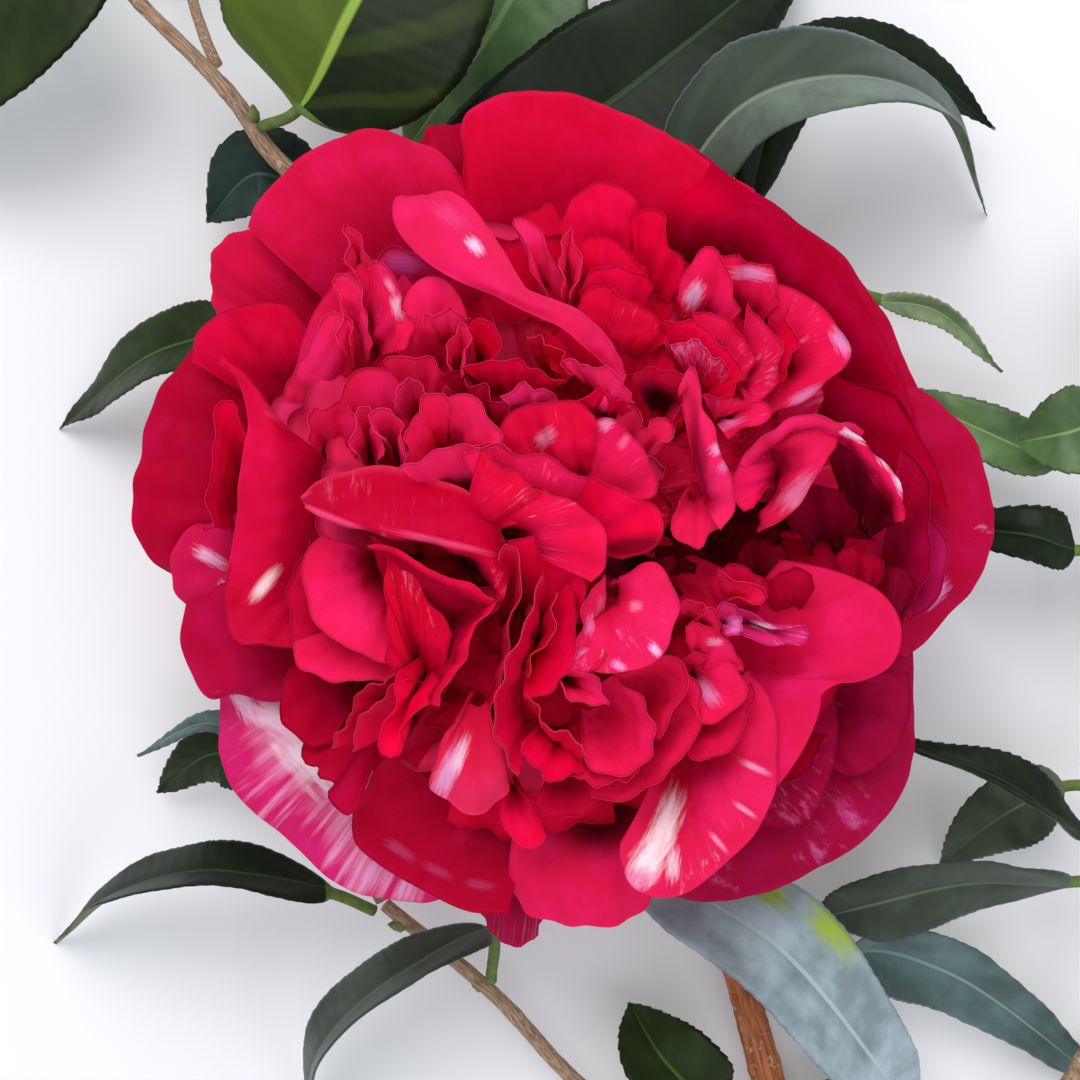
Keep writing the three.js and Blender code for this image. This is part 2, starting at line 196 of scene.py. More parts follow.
def make_piece(name, vertices, faces, places, materials, worn=None, node=None, slot=None):
    """A smooth mesh object in the frame, riding on the root body."""
    mesh = bpy.data.meshes.new(name)
    mesh.from_pydata(in_frame(vertices).tolist(), [], [list(map(int, face)) for face in faces])
    layer = mesh.uv_layers.new(name="blade")
    corner = np.empty(len(mesh.loops), np.int32)
    mesh.loops.foreach_get("vertex_index", corner)
    layer.uv.foreach_set("vector", np.asarray(places, np.float32)[corner].ravel())
    for material in materials:
        mesh.materials.append(material)
    if worn is not None:
        mesh.polygons.foreach_set("material_index", np.asarray(worn, np.int32))
    mesh.shade_smooth()
    mesh.validate()
    piece = bpy.data.objects.new(name, mesh)
    bpy.context.scene.collection.objects.link(piece)
    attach(piece, "root")
    if node:
        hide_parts(node)
    return piece


class Gathering:
    """Many small shapes that become one piece, each wearing one of its materials."""

    def __init__(self):
        self.vertices, self.faces, self.places, self.worn, self.count = [], [], [], [], 0

    def add(self, vertices, faces, places, material):
        self.vertices.append(vertices)
        self.faces.extend(face + self.count for face in faces)
        self.places.append(places)
        self.worn.extend([material] * len(faces))
        self.count += len(vertices)

    def make(self, name, materials, **words):
        vertices, places = np.concatenate(self.vertices), np.concatenate(self.places)
        return make_piece(name, vertices, self.faces, places, materials, self.worn, **words)


# ---- materials ---------------------------------------------------------------------------------


def linear(red, green, blue):
    """A colour as a screen shows it, 0 to 255, as the linear colour a shader takes."""
    shares = [value / 255 for value in (red, green, blue)]
    curved = [s / 12.92 if s <= 0.04045 else ((s + 0.055) / 1.055) ** 2.4 for s in shares]
    return (*curved, 1.0)


class Shader:
    """A node tree with short calls for the nodes used here."""

    def __init__(self, name):
        self.material = bpy.data.materials.new(name)
        self.material.use_nodes = True
        self.tree = self.material.node_tree
        self.surface = self.tree.nodes["Principled BSDF"]

    def set(self, **values):
        for name, value in values.items():
            self.surface.inputs[name.replace("_", " ")].default_value = value

    def node(self, kind, inputs=(), **settings):
        node = self.tree.nodes.new(kind)
        for name, value in settings.items():
            setattr(node, name, value)
        for key, value in dict(inputs).items():
            if isinstance(value, bpy.types.NodeSocket):
                self.tree.links.new(value, node.inputs[key])
            else:
                node.inputs[key].default_value = value
        return node

    def link(self, output, name):
        self.tree.links.new(output, self.surface.inputs[name])

    def place(self):
        """The UV place on the blade as separate across and along values."""
        uv = self.node("ShaderNodeUVMap", uv_map="blade")
        split = self.node("ShaderNodeSeparateXYZ", {0: uv.outputs[0]})
        return split.outputs[0], split.outputs[1]

    def maths(self, operation, first, second=0.0, third=0.0):
        node = self.node("ShaderNodeMath", {0: first, 1: second, 2: third}, operation=operation)
        return node.outputs[0]

    def vector(self, x, y, z=0.0):
        return self.node("ShaderNodeCombineXYZ", {0: x, 1: y, 2: z}).outputs[0]

    def here(self):
        return self.node("ShaderNodeTexCoord").outputs["Object"]

    def noise(self, vector, scale, detail=3.0, roughness=0.55):
        inputs = {"Vector": vector, "Scale": scale, "Detail": detail, "Roughness": roughness}
        return self.node("ShaderNodeTexNoise", inputs).outputs["Fac"]

    def ramp(self, value, low, high):
        """0 below low, 1 above high, smooth between."""
        inputs = {"Value": value, "From Min": low, "From Max": high}
        node = self.node("ShaderNodeMapRange", inputs, interpolation_type="SMOOTHSTEP")
        return node.outputs[0]

    def mix(self, share, first, second):
        node = self.node("ShaderNodeMix", data_type="RGBA")
        for key, value in ((0, share), (6, first), (7, second)):
            if isinstance(value, bpy.types.NodeSocket):
                self.tree.links.new(value, node.inputs[key])
            else:
                node.inputs[key].default_value = value
        return node.outputs[2]

    def times(self, value, factor):
        return self.maths("MULTIPLY", value, factor)

    def tint(self, colour, other, share, strength):
        """The colour with some of another over it, where share is high."""
        return self.mix(self.times(share, strength), colour, linear(*other))

    def stretched(self, across, along, cells, cells_along=1.0):
        """A vector for noise that is drawn out along a petal, leaf or stem."""
        return self.vector(self.times(across, cells), self.times(along, cells_along))

    def off_midrib(self, across):
        return self.maths("ABSOLUTE", self.maths("SUBTRACT", across, 0.5))

    def bump(self, height, strength, distance):
        inputs = {"Height": height, "Strength": strength, "Distance": distance * MM}
        self.link(self.node("ShaderNodeBump", inputs).outputs[0], "Normal")


FLECK = (244, 176, 214)
RAGGED_CELLS = (0.9, 2.6, 1)     # how fine a mark's ragged edge is along and across it
THROUGH_ALL_HEIGHTS = 1000


class Mark(NamedTuple):
    """A soft streaky patch of colour on a petal or leaf; some are the plant's own marks, some painted shadows
    and highlights.
    """

    place: tuple                 # of its middle in the picture
    long: float                  # half its length
    wide: float                  # half its width
    turn: float = 0              # from the x axis, in degrees
    colour: tuple = FLECK
    strength: float = 0.85
    rough: float = 1.9           # how ragged its edge is


def marked(shader, colour, marks):
    """The colour with the marks over it."""
    for mark in marks:
        inputs = {
            "Vector": shader.here(),
            "Location": in_frame(seen(*mark.place, FACE_HEIGHT)),
            "Rotation": (0, 0, math.radians(mark.turn)),
            "Scale": (mark.long * MM, mark.wide * MM, THROUGH_ALL_HEIGHTS),
        }
        local = shader.node("ShaderNodeMapping", inputs, vector_type="TEXTURE").outputs[0]
        away = shader.node("ShaderNodeVectorMath", {0: local}, operation="LENGTH").outputs["Value"]
        cells = shader.node("ShaderNodeMapping", {"Vector": local, "Scale": RAGGED_CELLS}).outputs[0]
        grain = shader.noise(cells, 1.0, 3.0, 0.6)
        ragged = shader.maths("MULTIPLY_ADD", grain, mark.rough, -mark.rough / 2)
        share = shader.ramp(shader.maths("ADD", away, ragged), 1.15, 0.25)
        colour = shader.tint(colour, mark.colour, share, mark.strength)
    return colour


# What every petal's surface shares.
VELVET = {
    "Roughness": 0.55,
    "Sheen_Weight": 0.05,
    "Sheen_Roughness": 0.4,
    "Sheen_Tint": linear(255, 90, 140),
    "Subsurface_Scale": 1.2 * MM,
    "Subsurface_Radius": (1.0, 0.25, 0.2),
}
PETAL_SHINE = 0.03
WRINKLE_HIGHLIGHT_LIGHTER = 1.1               # how much lighter the painted highlights on a petal's fine wrinkles are
WRINKLE_HIGHLIGHT_PINKER = (0, 8, 26)         # and what is added to their red, green and blue
# The cells of noise across a petal's width.
VEINS, STREAKS, FLECKS, FOOT_STREAKS = 46.0, 26.0, 24.0, 18.0


def petal_material(name, face, deep, rim, streaks=0.0, flecks=0.0, pale_foot=0.0, fleck=FLECK,
                   rim_share=0.12, shine=PETAL_SHINE, marks=()):
    """Velvety petal: darker towards its foot, painted highlights on its fine wrinkles, a thin pale rim that
    is mostly a painted highlight, fine veins, white marks, and the marks given, some of them painted shade or
    highlights.

    streaks and flecks say how much of the face long and short white marks take, and pale_foot
    how far white spreads from the foot."""
    shader = Shader(name)
    across, along = shader.place()
    here = shader.here()
    colour = shader.mix(shader.ramp(along, 0.1, 0.8), linear(*deep), linear(*face))
    # painted highlight: lighter, pinker patches where the noise that raises the fine wrinkles is high
    wrinkle_noise = shader.noise(here, 160.0, 4.0)
    lighter = [min(255, value * WRINKLE_HIGHLIGHT_LIGHTER + extra) for value, extra in zip(face, WRINKLE_HIGHLIGHT_PINKER)]
    colour = shader.tint(colour, lighter, shader.ramp(wrinkle_noise, 0.42, 0.72), 0.5)
    veins = shader.noise(shader.stretched(across, along, VEINS), 1.0, 3.0)
    colour = shader.tint(colour, deep, shader.ramp(veins, 0.45, 0.8), 0.14)
    whites = []
    if streaks:
        lines = shader.noise(shader.stretched(across, along, STREAKS), 1.3, 3.0)
        patch = shader.times(shader.noise(here, 60.0, 1.0), 0.9)
        level = shader.maths("ADD", lines, patch)
        whites.append(shader.ramp(level, 1.22 - 0.42 * streaks, 1.5 - 0.34 * streaks))
    if flecks:
        spots = shader.noise(shader.stretched(across, along, FLECKS, 5.0), 1.0, 3.0, 0.65)
        patch = shader.times(shader.noise(here, 90.0, 1.0), 0.7)
        level = shader.maths("ADD", spots, patch)
        whites.append(shader.ramp(level, 1.06 - 0.2 * flecks, 1.32 - 0.2 * flecks))
    if pale_foot:
        lines = shader.noise(shader.stretched(across, along, FOOT_STREAKS), 1.2, 4.0)
        level = shader.maths("SUBTRACT", shader.maths("MULTIPLY_ADD", lines, 0.75, pale_foot), along)
        whites.append(shader.ramp(level, 0.18, 0.5))
    if whites:
        white = whites[0]
        for other in whites[1:]:
            white = shader.maths("MAXIMUM", white, other)
        colour = shader.tint(colour, fleck, white, 0.75)
    colour = marked(shader, colour, marks)
    # the rim colour over the outermost twentieth: mostly a painted highlight where the curled rim catches
    # light, on a few finishes a colour of the rim's own
    colour = shader.tint(colour, rim, shader.ramp(along, 0.95, 1.0), rim_share)
    shader.link(colour, "Base Color")
    shader.set(**VELVET, Specular_IOR_Level=shine, Subsurface_Weight=0.05)
    shader.bump(shader.maths("ADD", shader.times(veins, 0.35), wrinkle_noise), 0.4, 0.3)
    return shader.material


def plain_petal_material(name, face):
    """A petal of the ring under the others: one colour, so that all can share a piece."""
    shader = Shader(name)
    shader.set(**VELVET, Base_Color=linear(*face), Specular_IOR_Level=PETAL_SHINE, Subsurface_Weight=0.04)
    shader.bump(shader.noise(shader.here(), 900.0), 0.25, 0.2)
    return shader.material


def shaded(shader, noise, low, high, face, darker):
    """A face colour that noise darkens in places."""
    shade = linear(*(darker * value for value in face))
    return shader.mix(shader.ramp(noise, low, high), shade, linear(*face))


def leaf_material(name, face, vein, sheen, gloss=0.3, marks=(), half_in_other_light=None):
    """The waxy upper face of a leaf: midrib, faint side veins and mottling, and where given, a painted
    lighter or darker tone on one half for how the light falls on it.
    """
    shader = Shader(name)
    across, along = shader.place()
    here = shader.here()
    off_midrib = shader.off_midrib(across)
    slanted = shader.maths("SUBTRACT", shader.times(along, 26.0), shader.times(off_midrib, 15.0))
    wobble = shader.times(shader.noise(here, 60.0), 3.0)
    ribs = shader.maths("SINE", shader.maths("ADD", slanted, wobble))
    ribs = shader.maths("MULTIPLY_ADD", ribs, 0.5, 0.5)
    mottle = shader.noise(here, 110.0, 4.0)
    colour = shaded(shader, mottle, 0.35, 0.7, face, 0.72)
    # painted light: one half of the blade in another tone, lit or shaded as the light falls on that half
    if half_in_other_light:
        colour = shader.mix(shader.ramp(across, 0.49, 0.51), colour, linear(*half_in_other_light))
    colour = marked(shader, colour, marks)
    colour = shader.tint(colour, vein, shader.ramp(ribs, 0.6, 1.0), 0.05)
    midrib = shader.ramp(off_midrib, 0.03, 0.012)
    colour = shader.tint(colour, vein, midrib, 0.75)
    shader.link(colour, "Base Color")
    shader.set(Roughness=0.45, Specular_IOR_Level=gloss, Coat_Weight=gloss / 3, Coat_Roughness=0.35)
    shader.set(Sheen_Weight=sheen, Sheen_Roughness=0.35, Sheen_Tint=linear(190, 215, 225))
    relief = shader.maths("SUBTRACT", shader.times(mottle, 0.6), shader.times(ribs, 0.25))
    relief = shader.maths("SUBTRACT", relief, shader.times(midrib, 1.2))
    shader.bump(relief, 0.5, 0.35)
    return shader.material


def under_leaf_material():
    """The matt underside of a leaf."""
    shader = Shader("leaf_underside")
    across, _ = shader.place()
    midrib = shader.ramp(shader.off_midrib(across), 0.06, 0.02)
    mottle = shader.noise(shader.here(), 200.0, 4.0)
    colour = shader.mix(shader.ramp(mottle, 0.3, 0.75), linear(74, 98, 58), linear(98, 124, 76))
    shader.link(shader.mix(midrib, colour, linear(150, 168, 105)), "Base Color")
    shader.set(Roughness=0.6, Specular_IOR_Level=0.35)
    shader.bump(mottle, 0.3, 0.3)
    return shader.material


def bark_material(name, light, dark, cork):
    """Young bark: stretched streaks, fine cracks and small pale cork spots."""
    shader = Shader(name)
    round_share, along = shader.place()
    streak = shader.noise(shader.stretched(round_share, along, 26.0, 40.0), 1.0, 5.0)
    colour = shader.mix(shader.ramp(streak, 0.35, 0.65), linear(*dark), linear(*light))
    spots = shader.ramp(shader.noise(shader.here(), 700.0, 2.0), 0.62, 0.68)
    colour = shader.tint(colour, cork, spots, 0.7)
    shader.link(colour, "Base Color")
    shader.set(Roughness=0.78, Specular_IOR_Level=0.25)
    shader.bump(shader.maths("ADD", streak, spots), 0.6, 0.3)
    return shader.material


def scale_material(name, face, rim):
    """A bud or calyx scale: green with a brown rim."""
    shader = Shader(name)
    _, along = shader.place()
    mottle = shader.noise(shader.here(), 500.0, 3.0)
    colour = shaded(shader, mottle, 0.3, 0.7, face, 0.8)
    shader.link(shader.mix(shader.ramp(along, 0.8, 1.0), colour, linear(*rim)), "Base Color")
    shader.set(Roughness=0.6, Specular_IOR_Level=0.3)
    shader.bump(mottle, 0.3, 0.2)
    return shader.material


# ---- stems and leaves --------------------------------------------------------------------------
#
# The routes, radii and leaf spines are those of the CAD model. Each stem: the stem it grows from,
# its route and its radius at the start and at the tip.


class Leaf(NamedTuple):
    """A leaf on its stem."""

    spine: list                  # of its blade
    width: float
    finish: str
    roll: float = 0              # in degrees
    twist: float = 0             # the roll that is added by the tip
    fold: float = 0.2            # how much each half rises from the midrib
    joint: tuple = None          # where it leaves its stem, if that isn't by the spine's start


STEMS = {
    "main_stem": {
        "from": None,
        "route": [
            (39.6, -114.5, 3), (31.3, -83.9, 6.5), (26.2, -65.3, 9), (19.2, -35.2, 11),
            (11.7, -5.5, 12), (6.2, 32.9, 13), (3, 76.3, 12), (1.1, 98, 9),
        ],
        "radii": (2.8, 0.9),
        "leaves": [
            Leaf([(13, -49, 18), (30, -59, 34), (44, -76, 28), (58, -98, 0.4)], 20, "patched",
                 roll=-42, fold=0.15),
            Leaf([(34.4, -70.2, 13), (44, -63, 14), (56, -65.5, 15), (86, -88, 0.4)], 18, "blue",
                 roll=78, twist=-68),
            Leaf([(25, -88, 9), (15.5, -79.5, 14), (10.2, -72, 7)], 14, "olive", roll=15, fold=0.45),
            Leaf([(37, -86.5, 10), (42.5, -89, 10), (46, -101, 5)], 12, "young"),
            Leaf([(-1.5, 86, 13), (-10.5, 72.5, 12), (-24, 56, 4)], 24, "young", fold=0.15),
            Leaf([(8, 71.8, 12), (20, 76, 14), (37, 86, 5)], 24, "dark"),
            Leaf([(1.4, 102.5, 10.5), (12, 108, 14), (30, 111, 0.4)], 18, "dark"),
        ],
    },
    "lower_left_twig": {
        "from": "main_stem",
        "route": [
            (36.9, -105, 4), (21.1, -98.8, 6), (2.1, -83.5, 8), (-9.8, -70.1, 11), (-25.8, -56, 15),
        ],
        "radii": (1.3, 1.05),
        "leaves": [
            Leaf([(-10.5, -59.5, 19), (-24, -64.8, 25), (-34.5, -75.5, 18), (-39, -90.5, 1)], 16, "dusk",
                 roll=72, joint=(-10.3, -69.7, 11)),
            Leaf([(-33, -53.5, 20), (-49.5, -49.5, 25), (-64, -53.5, 17), (-77.5, -64.5, 0.4)], 14, "dark",
                 roll=62, twist=20, joint=(-22, -59.5, 14)),
        ],
    },
    "lower_left_twig_end": {
        "from": "lower_left_twig",
        "route": [(-25.8, -56, 15), (-35, -39, 16), (-40.2, -14.2, 17), (-43.5, 21.5, 18)],
        "radii": (1.05, 0.8),
        "leaves": [
            Leaf([(-41, -37.5, 12), (-50.5, -34, 13), (-61.5, -41, 3)], 10, "olive", roll=-10),
            Leaf([(-41.5, -34, 18), (-50.5, -29, 20), (-62.5, -34, 14)], 5, "blue", roll=50),
            Leaf([(-45.5, 26.5, 22), (-57, 25, 21), (-77, 14.6, 0.4)], 13, "olive", roll=35),
        ],
    },
    "upper_left_twig": {
        "from": "main_stem",
        "route": [
            (8, 19.6, 13), (-9, 28.3, 15), (-26.3, 41.8, 18), (-41, 52.3, 20), (-47.5, 61.3, 22),
            (-60.4, 74.3, 24), (-72.8, 87.9, 24),
        ],
        "radii": (1.9, 0.8),
        "leaves": [
            Leaf([(-18.5, 47, 20), (3, 58, 20), (18, 69, 21), (34, 83, 17)], 26, "dark", fold=0.12),
            Leaf([(-37, 58, 28), (-29.9, 69, 34), (-22.6, 85, 31), (-20.3, 109, 8)], 36, "bright_rib",
                 roll=10, fold=0.22, joint=(-44, 56.5, 21)),
            Leaf([(-36.5, 48.5, 14), (-44.5, 51, 16), (-53, 45, 9)], 14, "teal"),
            Leaf([(-66, 85, 28), (-84, 71, 25), (-108, 55, 0.4)], 27, "olive", fold=0.15),
            Leaf([(-76.5, 92, 25), (-87, 100, 23), (-101, 107, 10)], 19, "dark"),
        ],
    },
    "upper_left_fork": {
        "from": "upper_left_twig",
        "route": [(-48, 61.8, 22), (-51.5, 70, 19.5), (-54.2, 78, 17), (-56.5, 88, 16)],
        "radii": (0.9, 0.7),
        "leaves": [
            Leaf([(-57, 92, 16.5), (-62, 102, 18), (-71, 113, 8)], 16, "dark"),
        ],
    },
    "upper_right_twig": {
        "from": "main_stem",
        "route": [(6.2, 31.4, 13), (18.9, 37.1, 15), (33.2, 36.7, 18), (41.6, 33.6, 20)],
        "radii": (1.3, 0.8),
        "leaves": [
            Leaf([(16, 44, 22), (24.5, 57, 33), (36.5, 60.6, 36), (51.6, 59.5, 28), (65.7, 47.5, 0.4)],
                 20, "arched", roll=-25, twist=-35),
            Leaf([(27, 45.5, 19), (34, 64.5, 24), (48.5, 66.5, 21), (64.5, 58.5, 11)], 11, "dark", fold=0.15),
            Leaf([(45.5, 32, 22), (53, 30.5, 23), (66, 22.6, 9)], 4.5, "fresh", roll=35, fold=0.25),
        ],
    },
    "right_twig": {
        "from": "main_stem",
        "route": [(37.9, -108.5, 3.7), (51, -105, 6.5), (68, -95, 10), (78, -78, 12.5)],
        "radii": (1.8, 1.35),
        "leaves": [
            Leaf([(83.5, -84, 14), (90, -95, 14), (97, -110, 0.4)], 17, "dark"),
        ],
    },
    "right_twig_end": {
        "from": "right_twig",
        "route": [(78, -78, 12.5), (82, -60, 13.5), (82.5, -40, 14), (81, -15, 15), (78, 9, 15)],
        "radii": (1.35, 0.8),
        "leaves": [
            Leaf([(73.5, -52, 19), (56, -51, 27), (43, -54, 27), (36, -57, 22)], 15, "dusk",
                 roll=-62, twist=50),
            Leaf([(76, -45, 19), (62.2, -36.5, 25), (45.9, -30.6, 20)], 8, "dark", roll=52, fold=0.5),
            Leaf([(74.5, -39, 12), (65.5, -43, 13), (58.2, -52.2, 1)], 12, "grey_olive"),
            Leaf([(88, -29, 16), (94, -15, 18), (96, 5, 3)], 16, "dark"),
            Leaf([(75, -4, 16), (69, -2, 17), (55, -0.3, 9)], 10, "dark", roll=20, fold=0.3),
            Leaf([(73, 9, 15), (62, 13.5, 15), (49, 20.5, 10)], 9, "young"),
            Leaf([(76.5, 14, 22), (72, 12.8, 24), (65.5, 11.5, 20)], 13, "young", fold=0.3),
            Leaf([(84, 13, 15), (89, 27, 17), (91, 46, 0.4)], 17, "dark"),
        ],
    },
    "flowering_twig": {
        "from": "main_stem",
        "route": [(15.4, -20.3, 11.5), (6, -10, 12.6), (0.5, -1.2, 14.4), (0, 0, 16.8)],
        "radii": (1.5, 2.0),
        "leaves": [],
    },
}

SEAT_GAP = 0.3                   # as in the CAD model, between a piece and the stem that carries it
PETIOLE_RADIUS = 0.85
LEAF_TIP_RADIUS = 0.25
LEAF_THICKNESS = 0.6
LEAF_BASE_POWER = 0.62           # higher is more pointed
LEAF_TIP_POWER = 0.95
TIP_SHARE = 0.999                # past this share of its last stretch, a place is at a stem's tip

STEM_SIDES = 20
STEM_STEP = 1.0
NODE_SPACING = 17.0
NODE_LENGTH = 1.1
NODE_SWELLING = 0.1              # a share of the stem's radius, as the bark's relief is
BARK_RELIEF = 0.035
BARK_GRAIN = 2.2

LEAF_SIDES = 40
LEAF_RINGS = 90
PETIOLE_RINGS = 12
TOOTH_SPACING = 1.9
TOOTH_DEPTH = 0.28
SIDE_VEIN_SPACING = 3.4
SIDE_VEIN_HEIGHT = 0.035
GROOVE_DEPTH, GROOVE_WIDTH = 0.28, 0.7
KEEL_DEPTH, KEEL_WIDTH = 0.5, 0.6
WAVE_HEIGHT, WAVE_LENGTH = 0.5, 17.0
STALK_SHARE = 0.04               # the share of the blade that keeps the stalk's colour


def nearest_on_stem(axis, radii, target):
    """The place on a stem's axis nearest to a point, its direction, its radius and if it is the tip."""
    starts, steps = axis[:-1], np.diff(axis, axis=0)
    shares = np.clip(((target - starts) * steps).sum(1) / (steps**2).sum(1), 0, 1)
    places = starts + steps * shares[:, None]
    best = np.argmin(np.linalg.norm(places - target, axis=1))
    radius = radii[best] + (radii[best + 1] - radii[best]) * shares[best]
    at_tip = best == len(steps) - 1 and shares[best] > TIP_SHARE
    return places[best], unit(steps[best]), radius, at_tip


def seat_on_stem(stem, joint, toward, own_radius):
    """Where a piece of a given radius starts, clear of the stem that carries it."""
    place, tangent, radius, at_tip = nearest_on_stem(stem["axis"], stem["ring_radii"], joint)
    direction = unit(toward - place)
    cosine = abs(direction @ tangent)
    sine = math.sqrt(max(1e-9, 1 - cosine * cosine))
    past_side = (radius + SEAT_GAP + own_radius * cosine) / sine
    past_end = (SEAT_GAP + own_radius * sine) / max(cosine, 1e-9)
    return place + direction * (min(past_side, past_end) if at_tip else past_side)


def make_stem(name, stem, materials):
    route = np.array(stem["route"], float)
    if stem["from"]:
        parent = STEMS[stem["from"]]
        route[0] = seat_on_stem(parent, route[0], route[1], stem["radii"][0])
    length = np.linalg.norm(np.diff(curve(route, np.linspace(0, 1, 200)), axis=0), axis=1).sum()
    steps = round(length / STEM_STEP)
    axis = evenly(route, steps)
    along = np.linspace(0, 1, steps + 1)
    radii = stem["radii"][0] + (stem["radii"][1] - stem["radii"][0]) * along
    stem["axis"], stem["ring_radii"] = axis, radii
    tangent = directions(axis)
    side = unit(np.cross(UP, tangent))
    raised = np.cross(tangent, side)
    angle = np.linspace(0, 2 * math.pi, STEM_SIDES, endpoint=False)
    outward = side[:, None] * np.cos(angle)[:, None] + raised[:, None] * np.sin(angle)[:, None]
    from_node = np.abs((along * length + NODE_SPACING / 2) % NODE_SPACING - NODE_SPACING / 2)
    swelling = NODE_SWELLING * np.exp(-((from_node / NODE_LENGTH) ** 2))
    skin = axis[:, None] + outward * radii[:, None, None] * 1.5
    relief = BARK_RELIEF * ripples(skin, len(name), BARK_GRAIN)
    reach = radii[:, None] * (0.97 + swelling[:, None] + relief)
    vertices, quads, caps, places = tube(axis[:, None] + outward * reach[..., None])
    wood = materials["main_bark" if name == "main_stem" else "twig_bark"]
    worn = [0] * len(quads) + [1] * len(caps)
    wears = [wood, materials["cut_wood"]]
    make_piece(f"{name}_bark", vertices, [*quads, *caps], places, wears, worn, name, "bark")


def leaf_joint(leaf):
    return np.array(leaf.joint or leaf.spine[0], float)


def blade_share(along):
    """The width of a blade along its length, as a share of its greatest width."""
    widest = LEAF_BASE_POWER / (LEAF_BASE_POWER + LEAF_TIP_POWER)
    greatest = widest**LEAF_BASE_POWER * (1 - widest) ** LEAF_TIP_POWER
    return along**LEAF_BASE_POWER * (1 - along) ** LEAF_TIP_POWER / greatest


def make_leaf(name, stem, leaf, seed, materials):
    """A round stalk that widens into a thin blade, folded along its midrib, with a toothed margin."""
    spine = np.array(leaf.spine, float)
    seat = seat_on_stem(stem, leaf_joint(leaf), spine[0], PETIOLE_RADIUS)
    route = np.vstack([seat, spine])
    blade_start = 1 / len(spine)
    at = np.concatenate([
        np.linspace(0, blade_start, PETIOLE_RINGS, endpoint=False),
        np.linspace(blade_start, 1, LEAF_RINGS + 1),
    ])
    blade = np.clip((at - blade_start) / (1 - blade_start), 0, 1)
    centre = curve(route, at)
    length = np.linalg.norm(np.diff(centre, axis=0), axis=1).sum()
    tangent = directions(centre)
    turn = np.radians(leaf.roll * np.minimum(1, at / blade_start) + leaf.twist * blade)[:, None]
    level = unit(np.cross(UP, tangent))
    upright = np.cross(tangent, level)
    side = level * np.cos(turn) + upright * np.sin(turn)
    raised = upright * np.cos(turn) - level * np.sin(turn)
    flatness = np.minimum(1, blade * 4)
    tooth = (blade * length / TOOTH_SPACING) % 1
    toothed = TOOTH_DEPTH * tooth * np.clip(blade * 6, 0, 1) * (blade < 0.97)
    half_width = np.maximum(
        PETIOLE_RADIUS + (LEAF_TIP_RADIUS - PETIOLE_RADIUS) * blade,
        leaf.width / 2 * blade_share(blade) - toothed,
    )
    half_depth = PETIOLE_RADIUS + (LEAF_THICKNESS / 2 - PETIOLE_RADIUS) * flatness
    half_depth = half_depth * (1 - 0.6 * np.clip(blade * 10 - 9, 0, 1))
    faces_round = LEAF_SIDES // 2
    over = np.linspace(1, -1, faces_round + 1)
    share = np.concatenate([over, over[-2:0:-1]])
    upper = np.concatenate([np.ones(faces_round + 1), -np.ones(faces_round - 1)])
    bulk = (1 - np.abs(share) ** (2 + 6 * flatness[:, None])) ** 0.5
    across = half_width[:, None] * share
    side_vein = blade[:, None] * length / SIDE_VEIN_SPACING * 2 * math.pi - np.abs(share) * 5
    relief = SIDE_VEIN_HEIGHT * np.sin(side_vein)
    relief = relief * np.abs(share) * (1 - np.abs(share)) * 4 * flatness[:, None]
    groove = GROOVE_DEPTH * np.exp(-((across / GROOVE_WIDTH) ** 2)) * flatness[:, None] * (upper > 0)
    keel = KEEL_DEPTH * np.exp(-((across / KEEL_WIDTH) ** 2)) * flatness[:, None]
    keel = keel * (1 - blade[:, None]) * (upper < 0)
    wave = ripples(centre[:, None] + side[:, None] * across[..., None], seed, WAVE_LENGTH)
    wave = WAVE_HEIGHT * wave * np.abs(share) ** 2
    rise = np.abs(across) * leaf.fold * flatness[:, None] + half_depth[:, None] * bulk * upper
    rise = rise + relief + wave * flatness[:, None] - groove - keel
    rings = centre[:, None] + side[:, None] * across[..., None] + raised[:, None] * rise[..., None]
    vertices, quads, caps, places = tube(rings)
    count = len(at)
    places[:-2, 0] = np.tile((share + 1) / 2, count)
    places[:-2, 1] = np.repeat(blade, LEAF_SIDES)
    under = np.tile(np.arange(LEAF_SIDES) >= faces_round, count - 1)
    stalk = np.repeat(blade[1:] < STALK_SHARE, LEAF_SIDES)
    worn = [*np.where(stalk, 2, np.where(under, 1, 0)), *[2] * len(caps)]
    wears = [materials[leaf.finish], materials["underside"], materials["stalk"]]
    make_piece(f"{name}_blade", vertices, [*quads, *caps], places, wears, worn, name, "leaf")


TIP_BUD = {"length": 4.2, "width": 2.2}
SIDE_BUD = {"length": 3.0, "width": 1.7}


def bud(place, direction, seed, length, width):
    """A pointed bud of overlapping scales as one closed shape."""
    at = np.linspace(0, 1, 15)
    side = unit(np.cross(direction, [0.3, 0.2, 0.93]))
    raised = np.cross(direction, side)
    angle = np.linspace(0, 2 * math.pi, 12, endpoint=False)
    reach = width / 2 * (np.sin(np.pi * at**0.75) ** 0.8 + 0.12 * (1 - at)) + 0.05
    steps = 1 + 0.07 * np.sin(at[:, None] * 18 + 2 * angle + seed)
    outward = side * np.cos(angle)[:, None] + raised * np.sin(angle)[:, None]
    centre = place + direction * length * at[:, None]
    rings = centre[:, None] + outward * (reach[:, None] * steps)[..., None]
    vertices, quads, caps, places = tube(rings)
    return vertices, [*quads, *caps], places


